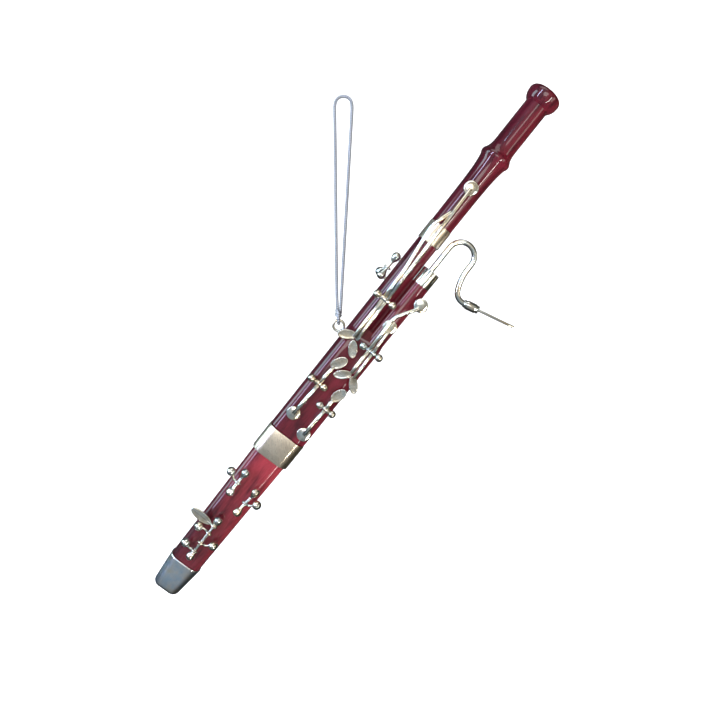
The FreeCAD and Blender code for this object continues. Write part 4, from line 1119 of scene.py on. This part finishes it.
class BASSOON_OT_posts(bpy.types.Operator):
    """Add the ball posts, and the pins and axles that they carry"""

    bl_idname = "bassoon.posts"
    bl_label = "Posts, pins and axles"

    def execute(self, context):
        for name, (z, spots, on_tube) in CROSS_PINS.items():
            bm = bmesh.new()
            centres = [Vector((x, KEY_Y, z)) for x in spots]
            for centre in centres:
                ball(bm, centre, POST_BALL_R)
                foot = set_in(centre, *pin_root(centre.x, on_tube))
                base = centre.lerp(foot, 1 - 0.8 / (foot - centre).length)
                sweep(bm, [centre, centre.lerp(base, 0.75), base, foot], [0.33, 0.33, STEM_R, STEM_R], 20)
            finish_piece(bm, name + "_ball_posts", "ornament", "key plate",
                         [name + "_posts"], 40.0)
            smoothed(name + "_pin", name + "_cross_pin", "ornament", "key plate")
        for name, ends in AXLES.items():
            bm = bmesh.new()
            ends = [Vector(end) for end in ends]
            for centre, far in zip(ends, ends[::-1]):
                ball(bm, centre, AXLE_BALL_R)
                turned(bm, [(0.0, 0.3), (0.93, 0.3), (0.86, 0.62), (0.7, 0.95), (0.52, 1.22), (0.42, 1.45),
                            (0.38, 1.6), (0.0, 1.6)], along(centre, far), 36)
                root, surface = ((LONG_X, 0.0), LONG_TUBE_R) if name == "long" else boot_root(centre)
                foot = set_in(centre, root, surface)
                sweep(bm, [centre, centre.lerp(foot, 0.5), foot], STEM_R, 20)
            finish_piece(bm, name + "_ball_posts", "ornament", "key plate",
                         [name + "_posts"], 40.0)
            smoothed(name + "_axle", name + "_key_axle", "ornament", "rod plate")
        return {"FINISHED"}


# ---- small keys on axles
# each small key: its axle, the height of its collar, and its ball's place
SMALL_KEYS = {
    "boot_left_key": ("boot_left", BAND_FOOT - 8.0, (-4.9, AXLE_Y + 0.3, BAND_FOOT - 7.0)),
    "boot_right_key": ("boot_right", BAND_FOOT - 10.9, (4.35, AXLE_Y + 0.3, BAND_FOOT - 9.9)),
    "boot_key_1": ("boot_low", BAND_FOOT - 21.8, (-2.9, AXLE_Y, BAND_FOOT - 22.0)),
    "boot_key_2": ("boot_low", BAND_FOOT - 24.8, (2.4, AXLE_Y, BAND_FOOT - 23.8)),
    "boot_key_3": ("boot_low", BAND_FOOT - 27.3, (-2.95, AXLE_Y, BAND_FOOT - 27.0)),
    "long_key": ("long", SHOULDER + 15.6, None),
}
PADDLE_Z = BAND_FOOT - 19.75


def on_axle(name, z):
    """The point of an axle at a height, and the axle's direction."""
    low, high = (Vector(end) for end in AXLES[name])
    return low.lerp(high, (z - low.z) / (high.z - low.z)), (high - low).normalized()


def collar(bm, point, direction):
    """A rounded collar that turns on an axle, open for the axle."""
    start = point - direction * 0.275
    turned(bm, [(0.42, 0.0), (0.66, 0.0), (0.81, 0.07), (0.875, 0.2), (0.875, 0.35), (0.81, 0.48),
                (0.66, 0.55), (0.42, 0.55), (0.42, 0.0)], along(start, start + direction), 40)


class BASSOON_OT_small_keys(bpy.types.Operator):
    """Add the small ball-ended keys and the thumb paddle that turn on axles"""

    bl_idname = "bassoon.small_keys"
    bl_label = "Small keys"

    def execute(self, context):
        for name, (axle, z, tip) in SMALL_KEYS.items():
            bm = bmesh.new()
            point, direction = on_axle(axle, z)
            if tip is None:
                lower, _ = on_axle(axle, SHOULDER + 13.9)
                tip = lower + Vector((-0.55, 2.0, 0.0))
            tip = Vector(tip)
            collar(bm, point, direction)
            side = Vector((tip.x - point.x, tip.y - point.y, 0.0)).normalized()
            start = point + side * 0.62
            dip = Vector((0.0, 0.0, -0.45 if tip.z > z else 0.35))
            arm = interpolate_bezier(start, start + side * 0.7 + dip, tip - side * 0.8 + dip * 0.6, tip, 14)
            sweep(bm, arm, [0.33 - 0.05 * math.sin(math.pi * i / 13) for i in range(14)], 20)
            ball(bm, tip, KEY_BALL_R, 44)
            finish_piece(bm, name + "_arm", name, "key plate", [name], 40.0)

        bm = bmesh.new()
        point, direction = on_axle("boot_low", PADDLE_Z)
        collar(bm, point, direction)
        middle = Vector((point.x - 0.9 - 2.8, point.y, PADDLE_Z + 0.1))
        oval_plate(bm, middle, 5.6, 2.2, TOUCH_THICK, -3)
        sweep(bm, [point - Vector((reach, 0, 0)) for reach in (0.6, 1.2, 2.0)], 0.28, 20)
        finish_piece(bm, "thumb_plate", "thumb_paddle", "key plate", ["thumb_paddle"], 45.0)
        return {"FINISHED"}


# ---- screw eye
class BASSOON_OT_eye(bpy.types.Operator):
    """Add the small wire screw eye that the thread goes through"""

    bl_idname = "bassoon.eye"
    bl_label = "Screw eye"

    def execute(self, context):
        centre = Vector((-6.15, 0.0, SHOULDER - 0.95))
        path = []
        for step in range(49):
            angle = math.radians(352 - 350 * step / 48)
            path.append(centre + Vector((math.cos(angle), 0.0, math.sin(angle))) * 1.2)
        bm = bmesh.new()
        rod_with_ends(bm, path, 0.305, 20)
        sweep(bm, [centre + Vector((reach, 0, 0)) for reach in (1.15, 2.4, 3.7)], [0.3, 0.3, 0.12], 20)
        finish_piece(bm, "wire_eye", "ornament", "key plate", ["screw_eye"], 50.0)
        return {"FINISHED"}


# ---- panel and registration
PIECES = ("stage", "thread", "body", "fittings", "crook", "levers", "posts", "small_keys", "eye")


class BASSOON_PT_panel(bpy.types.Panel):
    bl_label = "Bassoon"
    bl_idname = "BASSOON_PT_panel"
    bl_space_type = "VIEW_3D"
    bl_region_type = "UI"
    bl_category = "Bassoon"

    def draw(self, context):
        for piece in PIECES:
            self.layout.operator("bassoon." + piece)
        for group in SETTINGS:
            settings = getattr(context.scene, group)
            box = self.layout.box()
            for key in settings.__annotations__:
                box.prop(settings, key)


SETTINGS = {
    "bassoon_wood": WoodSettings,
    "bassoon_plate": PlateSettings,
    "bassoon_thread": ThreadSettings,
    "bassoon_stage": StageSettings,
}
OPERATORS = (
    BASSOON_OT_stage, BASSOON_OT_thread, BASSOON_OT_body, BASSOON_OT_fittings, BASSOON_OT_crook,
    BASSOON_OT_levers, BASSOON_OT_posts, BASSOON_OT_small_keys, BASSOON_OT_eye,
)


def register():
    for cls in (*SETTINGS.values(), *OPERATORS, BASSOON_PT_panel):
        bpy.utils.register_class(cls)
    for name, cls in SETTINGS.items():
        setattr(bpy.types.Scene, name, PointerProperty(type=cls))


def unregister():
    for name in SETTINGS:
        delattr(bpy.types.Scene, name)
    for cls in reversed((*SETTINGS.values(), *OPERATORS, BASSOON_PT_panel)):
        bpy.utils.unregister_class(cls)


def main():
    register()
    for piece in PIECES:
        getattr(bpy.ops.bassoon, piece)()


if __name__ == "__main__":
    main()
